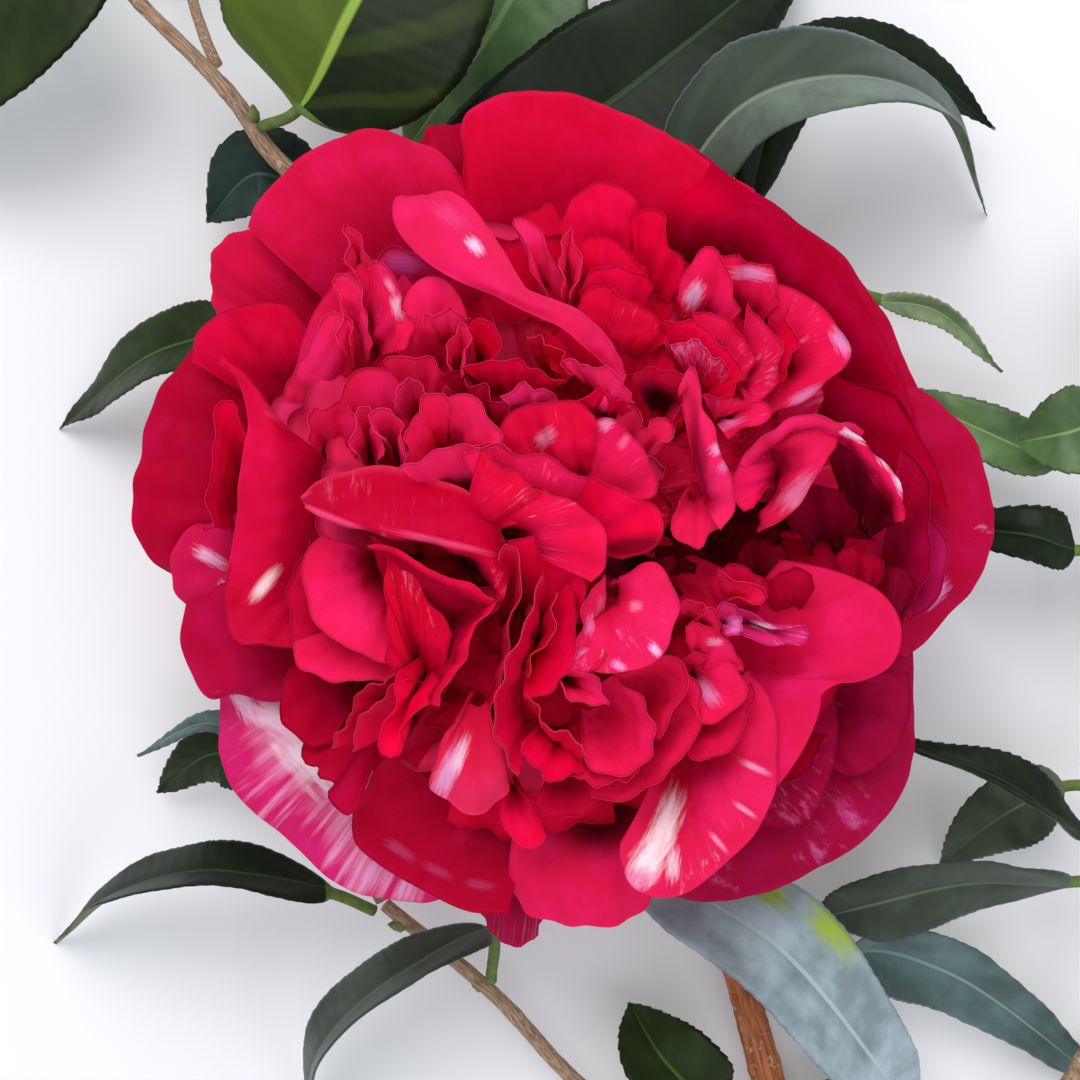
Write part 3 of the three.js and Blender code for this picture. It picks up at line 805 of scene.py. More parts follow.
def make_buds(materials):
    """A small bud at the tip of each twig and in the angle of each leaf."""
    buds = Gathering()
    for seed, (name, stem) in enumerate(STEMS.items()):
        if name == "flowering_twig":    # it carries the bloom
            continue
        axis, radii = stem["axis"], stem["ring_radii"]
        goes_on = any(other["route"][0] == stem["route"][-1] for other in STEMS.values())
        if not goes_on:
            way = unit(axis[-1] - axis[-3])
            buds.add(*bud(axis[-1] - way * SEAT_GAP, way, seed, **TIP_BUD), 0)
        for number, leaf in enumerate(stem["leaves"]):
            joint = leaf_joint(leaf)
            place, tangent, radius, _ = nearest_on_stem(axis, radii, joint)
            outward = unit(joint - place)
            way = unit(outward + tangent * 1.6 + UP * 0.4)
            buds.add(*bud(place + way * radius * 0.7, way, seed + number, **SIDE_BUD), 0)
    buds.make("buds", [materials["bud"]], slot="calyx")


# ---- the calyx ---------------------------------------------------------------------------------

# The scales in each row, the heights of their foot and rim, their reach, and the turn of the row.
CALYX_ROWS = (
    {"count": 5, "foot": 17.3, "rim": 22.5, "reach": 6.2, "turn": 0.3},
    {"count": 5, "foot": 18.2, "rim": 26.5, "reach": 9.4, "turn": 0.9},
    {"count": 6, "foot": 19.5, "rim": 31.5, "reach": 13.2, "turn": 0.1},
)
SCALE_REACH_AT_FOOT = 2.0
SCALE_THICKNESS = 0.8


def make_calyx(materials):
    calyx = Gathering()
    for row in CALYX_ROWS:
        for number in range(row["count"]):
            middle = row["turn"] + 2 * math.pi * number / row["count"]
            width = 2 * math.pi / row["count"] * 0.72
            turn, up = np.meshgrid(np.linspace(-1, 1, 17), np.linspace(0, 1, 15), indexing="ij")
            spread = row["reach"] - SCALE_REACH_AT_FOOT
            reach = SCALE_REACH_AT_FOOT + spread * np.sin(up * math.pi / 2) ** 0.9
            reach = reach * (1 - 0.1 * up**4 * turn**2)
            rise = (row["rim"] - row["foot"]) * up**1.5
            height = row["foot"] + rise * (1 - 0.45 * np.abs(turn) ** 3)
            angle = middle + turn * width
            grid = np.stack([reach * np.cos(angle), reach * np.sin(angle), height], -1)
            calyx.add(*closed_sheet(grid, SCALE_THICKNESS), 0)
    calyx.make("calyx_scales", [materials["calyx"]], node="receptacle", slot="calyx")


# ---- the bloom's petals ------------------------------------------------------------------------

PETAL_STEP = (0.7, 0.7)          # distance between two points of a petal's mesh, across and along
FOOT_THICKNESS = 0.45
RIM_THICKNESS = 0.11
FULL_CURL_REACH = 22.0           # petals shorter than this curl less at the rim
FOLD_SPACING = 14.0
CRINKLE_SPACING = 3.2


class Fold(NamedTuple):
    """A line that a petal goes through on the way from its foot to its rim."""

    places: list
    height: tuple


class Petal(NamedTuple):
    """A petal by its places in the picture and their heights over the floor.

    A height is one number, or some that are spread evenly over the places. A petal comes from
    its foot, which is one place and its height, or else from a back edge."""

    finish: str
    height: tuple                # of the rim
    rim: list                    # the free edge
    foot: tuple = None
    arch: float = 0              # how far its middle is lifted
    relief: dict = {}
    back: list = ()
    back_height: tuple = ()
    via: list = ()
    marks: list = ()


def petal_grid(lines, seed, pleat=0.4, frill=0.15, crinkle=0.08, curl=0.5, fan=0.2, step=PETAL_STEP):
    """A surface lofted from a petal's foot to its rim.

    pleat, fan, frill and crinkle are the heights of its long folds, of the finer folds near its
    middle, of its wavy rim and of its crinkles, and curl is how far its rim bends down."""
    rim_length = np.linalg.norm(np.diff(evenly(lines[-1], 30), axis=0), axis=1).sum()
    reach = sum(np.linalg.norm(b[len(b) // 2] - a[len(a) // 2]) for a, b in zip(lines, lines[1:]))
    across = int(np.clip(rim_length / step[0], 14, 110))
    along = int(np.clip(reach / step[1], 12, 60))
    sampled = np.array([evenly(line, across) for line in lines])
    steps = np.linspace(0, 1, along + 1)
    grid = np.array([curve(sampled[:, column], steps) for column in range(across + 1)])
    random = np.random.default_rng(seed)
    normal = grid_normals(grid)
    normal = normal * (1 if normal[..., 2].mean() > 0 else -1)
    turn = np.linspace(0, 1, across + 1)[:, None] * 2 * math.pi
    out = steps[None, :]
    folds = random.uniform(1.2, 2.6, 2)
    phases = random.uniform(0, 2 * math.pi, 4)
    frills = rim_length / random.uniform(6.0, 11.0)
    fans = rim_length / random.uniform(3.5, 5.5)
    pleats = np.sin(folds[0] * turn + phases[0]) + 0.5 * np.sin(2.3 * folds[1] * turn + phases[1])
    waves = np.sin(frills * turn + phases[2]) + 0.6 * np.sin(1.9 * frills * turn + phases[3])
    fanned = np.sin(fans * turn + 2.0 * ripples(grid, seed + 2, FOLD_SPACING))
    lift = pleat * out * pleats
    lift -= curl * min(1.0, reach / FULL_CURL_REACH) * out**6
    lift += fan * out * (1.2 - out) * fanned
    lift += frill * out**7 * waves
    lift += crinkle * ripples(grid, seed + 1, CRINKLE_SPACING)
    return grid + normal * lift[..., None]


def petal_shape(lines, seed, **relief):
    """A petal as a closed shell that thins towards its rim."""
    grid = petal_grid(lines, seed, **relief)
    out = np.linspace(0, 1, grid.shape[1])[None, :]
    thickness = FOOT_THICKNESS + (RIM_THICKNESS - FOOT_THICKNESS) * out
    return closed_sheet(grid, np.repeat(thickness, grid.shape[0], axis=0))


def picture_line(places, height):
    """A line of points from places in the picture, with the heights spread over it."""
    heights = np.atleast_1d(height).astype(float)
    spread = np.interp(np.linspace(0, 1, len(places)), np.linspace(0, 1, len(heights)), heights)
    return np.array([seen(*place, z) for place, z in zip(places, spread)])


# Outer petals, with the rim as it runs clockwise. They come from the bloom's middle.
OUTER_RELIEF = {"pleat": 0.6, "frill": 0.12, "crinkle": 0.05, "curl": 0.9, "fan": 0.12}
OUTER_PETALS = {
    "top_left": Petal("rose", (48, 50, 49), rim=[
        (245, 226), (264, 192), (292, 158), (344, 132), (402, 131), (442, 147), (466, 176),
    ]),
    "top_left_lobe": Petal("rose", 45, rim=[
        (222, 330), (207, 300), (208, 268), (216, 244), (236, 226), (262, 226),
    ]),
    "top_back": Petal("crimson", 42, rim=[
        (415, 142), (430, 124), (448, 120), (470, 124),
    ]),
    "top": Petal("bright_outer", (50, 51, 48), rim=[
        (452, 200), (457, 150), (464, 115), (498, 93), (560, 91), (612, 102), (664, 126), (712, 158),
        (756, 190),
    ]),
    "upper_right_back": Petal("crimson", (44, 44, 42), rim=[
        (690, 140), (725, 170), (780, 202), (832, 245), (872, 288), (896, 326), (912, 372), (926, 414),
    ]),
    "right": Petal("crimson_flecked", (44, 43, 45, 44), rim=[
        (872, 340), (905, 375), (943, 402), (980, 447), (996, 495), (997, 540), (974, 588), (940, 632),
        (912, 662),
    ], marks=[
        Mark((936, 556), 5.6, 2.8, 75, (196, 24, 94)),
        Mark((956, 598), 2.6, 1.2, 45, (226, 150, 214)),
    ]),
    "lower_right": Petal("dark_flecked", (40, 43, 42), rim=[
        (914, 650), (920, 712), (910, 785), (862, 842), (806, 881), (752, 900), (704, 904), (664, 894),
    ]),
    "bottom": Petal("rose_light", (50, 50, 47), rim=[
        (507, 838), (508, 880), (524, 914), (554, 928), (590, 929), (622, 925), (652, 910), (664, 892),
    ], marks=[
        # painted shadow: a dark patch on the petal's inner part, in the gap under the cup
        Mark((608, 830), 9.0, 5.2, 5, (70, 0, 14), 0.95, 0.4),
    ]),
    "bottom_tip": Petal("blotched", 40, rim=[
        (476, 905), (486, 934), (512, 948), (540, 938), (552, 915),
    ], marks=[
        Mark((492, 914), 2.2, 1.2, 40, (222, 160, 200)),
    ]),
    "lower_left": Petal("variegated", (44, 44, 43), rim=[
        (214, 700), (217, 752), (229, 787), (268, 828), (315, 870), (366, 898), (420, 908), (450, 898),
    ], marks=[
        Mark((312, 770), 8.0, 4.6, -46, (252, 232, 244), 1.0),
        Mark((262, 728), 4.4, 2.2, -30, (250, 214, 234)),
        Mark((228, 714), 3.0, 1.5, -60, (240, 190, 220)),
    ]),
    "left_lower": Petal("crimson_flecked", (50, 50, 48), rim=[
        (186, 590), (180, 622), (178, 650), (190, 680), (212, 700), (245, 704), (284, 702),
    ]),
    "left_middle": Petal("violet_flecked", (52, 50, 50), rim=[
        (222, 522), (196, 520), (174, 545), (168, 570), (176, 604), (198, 620),
    ], marks=[
        Mark((200, 558), 2.6, 1.0, -30),
        Mark((216, 592), 1.6, 0.9, -70),
        Mark((204, 618), 1.2, 0.7, 30),
    ]),
    "left": Petal("crimson", (46, 47, 46), rim=[
        (192, 350), (160, 384), (140, 425), (136, 455), (130, 500), (137, 542), (152, 566), (180, 588),
    ]),
}
# The section of an outer petal: the share of the way to the rim, and the height, from the foot or the rim.
OUTER_SECTION = (
    {"share": 0.13, "height": 30.0},
    {"share": 0.42, "height": 36.0},
    {"share": 0.72, "below_rim": 1.5},
    {"share": 0.9, "below_rim": -1.6},
    {"share": 1.0, "below_rim": 0.0},
)


def outer_lines(rim):
    """The lines of an outer petal from its foot to its rim."""
    lines = []
    for station in OUTER_SECTION:
        line = rim * station["share"]
        line[:, 2] = station.get("height", 0) or rim[:, 2] - station["below_rim"]
        lines.append(line)
    return lines


def make_outer_petals(materials):
    for seed, (name, petal) in enumerate(OUTER_PETALS.items()):
        rim = picture_line(petal.rim, petal.height)
        shape = petal_shape(outer_lines(rim), seed, **OUTER_RELIEF)
        finish = petal_finish(petal.finish, f"outer_{name}", petal.marks, materials)
        make_piece(f"outer_petal_{name}", *shape, [finish], slot="petal")


# A further ring of outer petals under those, seen from the sides and from below.
UNDER_RING = {"count": 9, "reach": 50.0, "height": 37.0, "half_width": 0.42}


def make_under_petals(materials):
    random = np.random.default_rng(11)
    petals = Gathering()
    for number in range(UNDER_RING["count"]):
        middle = 2 * math.pi * (number + random.uniform(-0.15, 0.15)) / UNDER_RING["count"]
        turn = np.linspace(1, -1, 7)
        reach = UNDER_RING["reach"] * (1 - 0.1 * turn**4) * random.uniform(0.93, 1.0)
        angle = middle + turn * UNDER_RING["half_width"]
        height = np.full(len(turn), UNDER_RING["height"] + random.uniform(-1.5, 2))
        rim = np.stack([reach * np.cos(angle), reach * np.sin(angle), height], 1)
        petals.add(*petal_shape(outer_lines(rim), 40 + number), number % 2)
    petals.make("under_petals", [materials["plain_crimson"], materials["plain_red"]], slot="petal")


# Inner petals, in groups by their part of the picture. Most come from a foot inside the bloom; the
# few that lie folded over have a back edge instead.
INNER_RELIEF = {"pleat": 0.45, "frill": 0.12, "crinkle": 0.1}
FOOT_WIDTH = 0.22                # of a petal with a foot, as a share of its rim's width
BELLY_SHARE = 0.62               # how far along a petal its arch is
INNER_PETALS = {
    # top
    "top_lobe": Petal("bright", (58, 61, 58), foot=(612, 320, 46), arch=2, rim=[
        (566, 250), (567, 214), (575, 196), (593, 186), (616, 186), (634, 198), (640, 215),
    ]),
    "top_lobe_right": Petal("bright", (60, 62, 60), foot=(640, 330, 46), arch=2, rim=[
        (634, 222), (643, 208), (654, 212), (662, 228), (668, 246), (680, 262), (684, 280),
    ]),
    "top_curl": Petal("bright", (63, 64, 62), foot=(605, 320, 50), arch=3, rim=[
        (574, 262), (584, 240), (600, 235), (613, 242), (628, 256), (644, 272),
    ]),
    "top_curl_low": Petal("bright", (65, 66, 64), foot=(612, 340, 52), arch=2, rim=[
        (578, 292), (588, 278), (602, 270), (622, 268), (641, 275), (652, 290),
    ]),
    "top_fold": Petal("red_flecked", (66, 68, 66), foot=(612, 366, 54), arch=3, rim=[
        (576, 306), (590, 291), (605, 288), (622, 295), (642, 310), (668, 326), (672, 338),
    ]),
    "top_blade": Petal("pink", 66, foot=(566, 330, 52), rim=[
        (562, 296), (568, 250), (571, 223), (574, 252), (572, 298),
    ]),
    "top_tongue": Petal("pink", (62, 64, 64), foot=(556, 325, 54), arch=1, rim=[
        (548, 296), (535, 268), (531, 246), (513, 224), (515, 218), (530, 226), (545, 246), (560, 280),
    ]),
    "top_strap": Petal("strap", (60, 65, 70, 74, 70), arch=1.5, rim=[
        (432, 197), (416, 191), (396, 196), (392, 212), (400, 234), (424, 260), (458, 281), (500, 300),
        (530, 314), (560, 327), (584, 346), (606, 368), (624, 388),
    ], back_height=(59, 61, 68, 72, 69), back=[
        (434, 196), (446, 192), (462, 199), (474, 211), (490, 232), (508, 260), (528, 291), (560, 303),
        (592, 322), (612, 346), (626, 376),
    ], marks=[
        Mark((477, 255), 1.7, 0.9, -55, (240, 206, 244)),
        Mark((452, 222), 3.0, 1.4, -45, (232, 70, 130), 0.5),
    ]),
    # top left
    "left_point": Petal("pink", 60, foot=(370, 310, 48), rim=[
        (362, 290), (352, 252), (344, 225), (356, 240), (372, 268),
    ]),
    "left_strip": Petal("pink", 62, foot=(364, 380, 48), arch=1, rim=[
        (345, 345), (341, 300), (340, 277), (352, 282), (362, 300), (366, 345),
    ]),
    "left_column": Petal("pink_flecked", (66, 67, 66), foot=(372, 352, 50), arch=2, rim=[
        (370, 268), (384, 264), (393, 284), (400, 306), (408, 324), (404, 350),
    ], marks=[
        Mark((401, 312), 1.8, 0.9, -75, (246, 176, 204)),
        Mark((393, 291), 1.3, 0.5, -60, (244, 140, 176)),
    ]),
    "left_violet": Petal("violet_flecked", 62, foot=(420, 330, 50), arch=1, rim=[
        (380, 270), (386, 252), (408, 250), (432, 262), (448, 284),
    ], marks=[
        Mark((405, 264), 3.2, 1.4, -12, (214, 84, 170), 0.7, 1.0),
    ]),
    "left_edge": Petal("pink", (58, 61, 62), foot=(360, 400, 46), arch=2, rim=[
        (284, 404), (292, 376), (306, 352), (320, 328), (334, 315), (346, 322), (350, 345),
    ]),
    "left_round": Petal("hot", (64, 65, 64), foot=(385, 440, 50), arch=3, rim=[
        (340, 402), (345, 384), (362, 372), (386, 371), (406, 377), (420, 390),
    ]),
    "left_gleam": Petal("hot", (68, 69, 68), foot=(430, 410, 52), arch=2, rim=[
        (384, 366), (396, 360), (418, 358), (440, 369), (446, 384),
    ]),
    "left_small": Petal("hot", 64, foot=(340, 470, 50), arch=1, rim=[
        (313, 440), (314, 404), (322, 413), (342, 406), (358, 416), (364, 440),
    ]),
    "left_crescent": Petal("pink", 72, foot=(425, 430, 54), arch=1, rim=[
        (398, 410), (397, 392), (408, 385), (424, 390), (434, 402),
    ]),
    "left_strip_low": Petal("pink", 72, foot=(375, 480, 54), rim=[
        (360, 452), (357, 424), (361, 413), (370, 412), (374, 430), (378, 456),
    ]),
    "left_strip_mid": Petal("pink", 73, foot=(402, 480, 56), rim=[
        (384, 440), (377, 416), (382, 407), (392, 414), (400, 438), (404, 464),
    ]),
    "left_heart": Petal("hot", (74, 75, 75), foot=(440, 470, 56), arch=3, rim=[
        (409, 470), (410, 438), (418, 414), (430, 400), (442, 396), (452, 404),
    ]),
    "left_heart_lip": Petal("pink", (75, 77, 76), foot=(462, 465, 60), arch=2, rim=[
        (446, 400), (462, 398), (478, 404), (490, 420), (496, 436), (478, 446), (458, 450),
    ]),
    "left_rim_blade": Petal("pink", (76, 77, 77), foot=(465, 505, 62), arch=1, rim=[
        (404, 474), (414, 464), (430, 455), (456, 449), (486, 447), (512, 453),
    ]),
    "left_under": Petal("hot_plain", (56, 58, 60), foot=(400, 430, 48), arch=2, rim=[
        (296, 400), (300, 352), (312, 316), (330, 288), (352, 268), (382, 258), (412, 276), (440, 300),
    ]),
    # far left
    "left_big_fold": Petal("matt_rose", (60, 63, 64, 62, 60, 58), arch=3, rim=[
        (219, 358), (232, 371), (242, 395), (246, 421), (243, 450), (238, 484), (236, 517), (231, 545),
        (225, 578), (225, 613), (229, 632), (242, 645),
    ], back_height=(60, 60, 58, 56, 54), back=[
        (222, 359), (245, 379), (264, 400), (282, 424), (302, 441), (321, 454), (326, 480), (332, 530),
        (326, 580), (306, 622), (280, 642),
    ], marks=[
        Mark((266, 584), 3.1, 0.95, 50, (250, 208, 210), 1.0, 0.8),
        # painted highlight: a pink streak where light catches the fold's edge
        Mark((288, 418), 3.0, 1.2, -35, (236, 60, 112), 0.6),
    ]),
    "left_upper": Petal("bright_outer", (52, 54, 54), foot=(330, 430, 42), arch=3, rim=[
        (192, 362), (196, 335), (215, 317), (246, 305), (273, 304), (294, 316), (308, 336),
    ]),
    "left_upright": Petal("bright", (60, 62, 60), foot=(262, 520, 44), rim=[
        (214, 528), (214, 470), (220, 420), (228, 404), (240, 420), (242, 470),
    ]),
    "left_spot": Petal("spotted", (61, 62, 60), foot=(330, 540, 48), arch=3, rim=[
        (300, 650), (262, 644), (236, 640), (226, 600), (233, 560), (250, 520),
    ]),
    # the lip and the hollow under it
    "lip": Petal("lip", (70, 72, 73, 73, 72), foot=(480, 610, 48), rim=[
        (300, 497), (328, 474), (376, 462), (424, 473), (470, 494), (500, 522), (512, 560),
    ], via=[
        Fold([(345, 508), (400, 522), (450, 536), (488, 572)], 58),
        Fold([(306, 506), (345, 524), (398, 536), (445, 541), (482, 556), (503, 600)], 76),
    ], marks=[
        # painted highlight: thin pink lines along the lip's lit lower ridge, and a pink spot at its tip
        Mark((344, 519), 6.0, 0.5, -22, (240, 70, 120)),
        Mark((448, 542), 7.0, 0.5, -13, (240, 70, 120)),
        Mark((310, 496), 1.6, 1.0, 30, (240, 70, 130)),
    ]),
    "lip_edge": Petal("edge", (76, 76, 74, 72, 70), foot=(500, 660, 52), rim=[
        (499, 560), (508, 550), (516, 590), (508, 626), (497, 665), (493, 700), (489, 732),
    ]),
    "hollow_wall": Petal("crimson", (73, 74, 72), foot=(420, 650, 54), arch=1, rim=[
        (368, 542), (399, 551), (422, 567), (445, 580), (468, 591), (496, 598), (484, 612), (470, 632),
        (464, 652), (449, 680), (432, 706),
    ]),
    "hollow_strip": Petal("edge", (74, 75, 76), arch=0.3, rim=[
        (368, 543), (399, 551), (420, 564), (445, 575), (470, 587), (496, 598),
    ], back_height=(73, 74, 74), back=[
        (372, 547), (397, 557), (417, 570), (441, 582), (466, 595), (487, 606),
    ]),
    "hollow_strip_low": Petal("edge", (76, 75, 73), arch=0.5, rim=[
        (497, 599), (486, 613), (473, 633), (467, 653), (451, 680), (436, 706),
    ], back_height=(74, 73, 71), back=[
        (484, 611), (474, 622), (462, 640), (456, 656), (440, 680), (426, 702),
    ]),
    "dotted": Petal("dotted", (72, 72, 71), foot=(430, 700, 60), arch=3, rim=[
        (394, 660), (387, 600), (386, 570), (390, 552), (402, 564), (418, 592), (438, 614), (452, 634),
    ]),
    "round_pink": Petal("hot", (70, 72, 71), foot=(392, 570, 56), arch=3, rim=[
        (322, 536), (306, 562), (305, 592), (313, 614), (329, 632), (345, 646), (368, 655), (398, 656),
    ]),
    "round_pink_low": Petal("hot", (66, 68, 68), foot=(384, 620, 54), arch=2, rim=[
        (296, 640), (297, 662), (308, 671), (344, 680), (376, 678), (404, 668),
    ]),
    "round_side": Petal("rose", (64, 66, 66), foot=(360, 600, 52), arch=2, rim=[
        (312, 540), (294, 576), (289, 608), (293, 636), (304, 652),
    ]),
    "under_round": Petal("crimson", (62, 64, 62), foot=(390, 640, 46), arch=2, rim=[
        (292, 668), (282, 690), (281, 706), (286, 722), (297, 735), (312, 747), (330, 742),
    ]),
    "under_round_next": Petal("crimson", (62, 63, 62), foot=(420, 640, 46), arch=2, rim=[
        (305, 744), (307, 761), (320, 766), (318, 777), (337, 784), (335, 804), (347, 816), (360, 790),
    ]),
    "ruffle_low": Petal("edge", (66, 68, 70), foot=(440, 690, 52), arch=1, rim=[
        (336, 752), (345, 725), (362, 698), (382, 682), (398, 676),
    ]),
    "ruffle_low_next": Petal("edge", (67, 69, 71), foot=(450, 690, 54), arch=1, rim=[
        (352, 752), (358, 732), (376, 706), (396, 690), (408, 684),
    ]),
    "spike": Petal("bright", (72, 73, 72), foot=(440, 650, 60), arch=1, rim=[
        (404, 672), (398, 700), (385, 722), (384, 752), (394, 750), (404, 724), (424, 704), (444, 684),
    ]),
    # centre
    "centre_top": Petal("red_flecked", (73, 76, 74), foot=(572, 500, 58), arch=4, rim=[
        (494, 446), (503, 424), (520, 410), (545, 403), (572, 403), (590, 414), (597, 428),
    ], marks=[
        Mark((545, 443), 1.6, 1.0, 40, (236, 130, 170)),
    ]),
    "centre_right": Petal("pink_flecked", (73, 75, 73), foot=(580, 505, 58), arch=4, rim=[
        (590, 428), (604, 420), (624, 428), (640, 446), (650, 464), (654, 482), (640, 494),
    ], marks=[
        Mark((603, 429), 1.2, 0.9, 40, (240, 150, 200), 0.8),
        Mark((619, 447), 1.2, 0.6, 55, (240, 110, 156), 0.7),
    ]),
    "centre_bumps": Petal("pink", 71, foot=(630, 470, 58), arch=2, rim=[
        (620, 424), (626, 410), (638, 412), (645, 428), (658, 420), (671, 428), (668, 440), (656, 446),
    ]),
    "centre_ruffle": Petal("pink_flecked", (77, 78, 76), foot=(520, 530, 62), arch=3, rim=[
        (462, 452), (486, 449), (512, 453), (536, 456), (560, 466), (582, 478), (600, 486),
    ]),
    "centre_pointer": Petal("bright", (77, 77, 75, 72), foot=(560, 540, 60), arch=4, rim=[
        (590, 480), (620, 490), (642, 503), (658, 516), (663, 530), (658, 544), (642, 553), (622, 554),
        (604, 546),
    ], marks=[
        # painted shade: the pointer's lower part darkened for the shadow there
        Mark((628, 546), 6.4, 1.7, 8, (112, 0, 24), rough=0.5),
    ]),
    "centre_streaked": Petal("red_streaked", (78, 79, 77), foot=(500, 530, 64), arch=4, rim=[
        (520, 486), (546, 496), (572, 502), (590, 516), (603, 535), (607, 554), (602, 570), (588, 580),
    ]),
    "centre_left": Petal("red_flecked", (78, 79, 77), foot=(470, 530, 64), arch=3, rim=[
        (478, 452), (496, 464), (514, 474), (530, 486), (545, 498), (538, 516),
    ]),
    # painted shadow: a dark petal with a near-black mark, for the shadowed gap under the centre's pointer
    "centre_gap": Petal("shade", (70, 71, 70), foot=(640, 606, 60), arch=1, rim=[
        (596, 556), (612, 553), (634, 556), (656, 557), (676, 564),
    ], marks=[
        Mark((636, 563), 4.4, 2.0, 0, (20, 0, 4), 0.97, 0.4),
    ]),
    # fan under the centre
    "fan_arch": Petal("bright", (74, 75, 73), foot=(540, 650, 54), arch=2, rim=[
        (507, 543), (526, 539), (548, 541), (564, 550), (578, 566), (584, 588), (583, 610),
    ]),
    "fan_long": Petal("edge", (76, 76, 75, 73, 70), foot=(536, 660, 54), arch=1, rim=[
        (550, 578), (538, 604), (524, 630), (510, 656), (501, 686), (498, 714), (508, 744), (520, 776),
    ]),
    "fan_crescent": Petal("bright", (73, 74, 71), foot=(530, 640, 56), arch=2, rim=[
        (562, 584), (573, 606), (576, 630), (572, 654), (558, 680), (541, 697), (524, 694),
    ]),
    "fan_inner": Petal("edge", (75, 74, 72), foot=(524, 660, 54), rim=[
        (553, 592), (552, 612), (545, 634), (534, 655), (524, 676),
    ]),
    # blister and cup
    "blister": Petal("blister", (75, 77, 77, 74), foot=(610, 592, 66), arch=4, rim=[
        (578, 640), (574, 664), (598, 671), (624, 671), (650, 664), (668, 648), (672, 626), (678, 604),
        (670, 580), (657, 563), (644, 564), (632, 574),
    ], marks=[
        Mark((648, 643), 1.1, 0.6, -50, (246, 190, 244)),
        Mark((614, 658), 1.1, 0.6, -30, (244, 150, 214)),
        Mark((630, 602), 0.9, 0.7, colour=(244, 140, 170), strength=0.6),
    ]),
    "blister_side": Petal("blister", (76, 77, 76), foot=(598, 640, 64), arch=2, rim=[
        (603, 574), (594, 590), (586, 618), (578, 644), (574, 664), (590, 668), (606, 652),
    ], marks=[
        Mark((597, 638), 1.5, 0.7, 75, (246, 200, 248)),
        Mark((586, 648), 1.6, 0.8, 10, (244, 180, 240)),
        Mark((589, 620), 1.6, 0.9, 80, (242, 130, 196)),
        Mark((598, 604), 1.6, 0.7, 85, (240, 110, 160)),
    ]),
    "cup_inner": Petal("hot", (71, 73, 73, 72), foot=(590, 704, 65), arch=-1, rim=[
        (612, 676), (630, 694), (646, 716), (655, 738), (650, 758), (634, 770), (608, 770), (584, 758),
    ]),
    "cup_second": Petal("hot", (70, 72, 70), foot=(618, 716, 61), arch=-1, rim=[
        (614, 672), (645, 664), (678, 662), (683, 688), (673, 714), (656, 738),
    ]),
    "cup_outer": Petal("hot", (66, 69, 69, 67), foot=(620, 724, 57), rim=[
        (686, 668), (696, 690), (696, 728), (682, 757), (664, 776), (638, 791), (612, 797), (590, 794),
    ]),
    "cup_low": Petal("hot", (69, 71, 70), foot=(592, 744, 63), rim=[
        (566, 768), (580, 779), (605, 784), (624, 778), (640, 768),
    ]),
    "cup_left": Petal("bright", (70, 71, 70), foot=(560, 710, 54), arch=1, rim=[
        (522, 742), (532, 760), (545, 776), (562, 776), (584, 768),
    ]),
    "cup_blade": Petal("edge", (71, 73, 73), foot=(560, 740, 54), arch=1, rim=[
        (522, 694), (535, 716), (552, 732), (570, 742), (588, 756),
    ]),
    "cup_tongue": Petal("pink", (73, 74, 73), foot=(562, 676, 62), arch=1, rim=[
        (562, 672), (578, 671), (592, 680), (602, 694), (611, 706), (592, 700), (574, 694), (560, 684),
    ]),
    # right of the cup
    "violet_fan": Petal("hot", (68, 70, 68), foot=(672, 668, 56), arch=2, rim=[
        (692, 660), (716, 662), (742, 676), (748, 694), (730, 710), (708, 718), (694, 704),
    ], marks=[
        Mark((702, 688), 2.2, 1.2, -50, (226, 140, 200)),
        Mark((738, 700), 1.2, 0.6, 60, (240, 150, 196)),
    ]),
    "violet_fan_low": Petal("pink_flecked", (66, 68, 66), foot=(690, 700, 54), arch=1, rim=[
        (748, 684), (752, 700), (742, 724), (730, 748), (716, 756), (702, 758), (690, 752),
    ]),
    "bump_pair": Petal("hot", (69, 71, 69), foot=(700, 660, 58), arch=3, rim=[
        (684, 640), (690, 626), (708, 632), (722, 636), (736, 650), (740, 672),
    ], marks=[
        Mark((708, 638), 1.1, 0.6, colour=(246, 150, 190)),
    ]),
    "right_chips": Petal("hot", (70, 72, 70), foot=(690, 620, 60), arch=1, rim=[
        (672, 612), (690, 600), (702, 602), (700, 616), (716, 612), (722, 626), (712, 640),
    ]),
    "chip_violet": Petal("violet", (73, 73, 72), foot=(744, 620, 66), arch=1, rim=[
        (738, 612), (760, 620), (782, 628), (806, 634), (802, 644), (784, 646), (762, 640), (742, 630),
    ], marks=[
        # painted highlight: a white-violet glint
        Mark((752, 622), 1.8, 0.5, -14, (250, 220, 250)),
    ]),
    "chip_white": Petal("violet", 73, foot=(722, 622, 66), arch=1, rim=[
        (718, 612), (732, 606), (744, 618), (738, 630), (724, 630),
    ], marks=[
        # painted highlight: a violet-white glint
        Mark((728, 621), 1.7, 1.2, colour=(244, 120, 204)),
    ]),
    "chip_up": Petal("hot", (70, 71, 70), foot=(720, 600, 60), arch=1, rim=[
        (716, 576), (734, 580), (756, 586), (763, 594), (748, 600), (728, 600),
    ]),
    # right
    "right_big": Petal("hot_plain", (64, 66, 66, 65, 64), foot=(716, 668, 56), arch=3, rim=[
        (780, 560), (812, 566), (848, 576), (880, 592), (899, 618), (900, 648), (888, 668), (862, 680),
        (838, 684), (822, 694), (819, 712), (806, 744), (786, 776), (762, 800),
    ]),
    "lower_big": Petal("white_blotch", (66, 66, 64, 61, 61), foot=(690, 730, 54), arch=3, rim=[
        (746, 674), (766, 694), (777, 724), (776, 756), (772, 795), (752, 836), (720, 868), (684, 894),
        (654, 898), (632, 886), (622, 862), (622, 842),
    ], marks=[
        Mark((666, 822), 4.6, 1.7, 68, (250, 222, 232), 1.0),
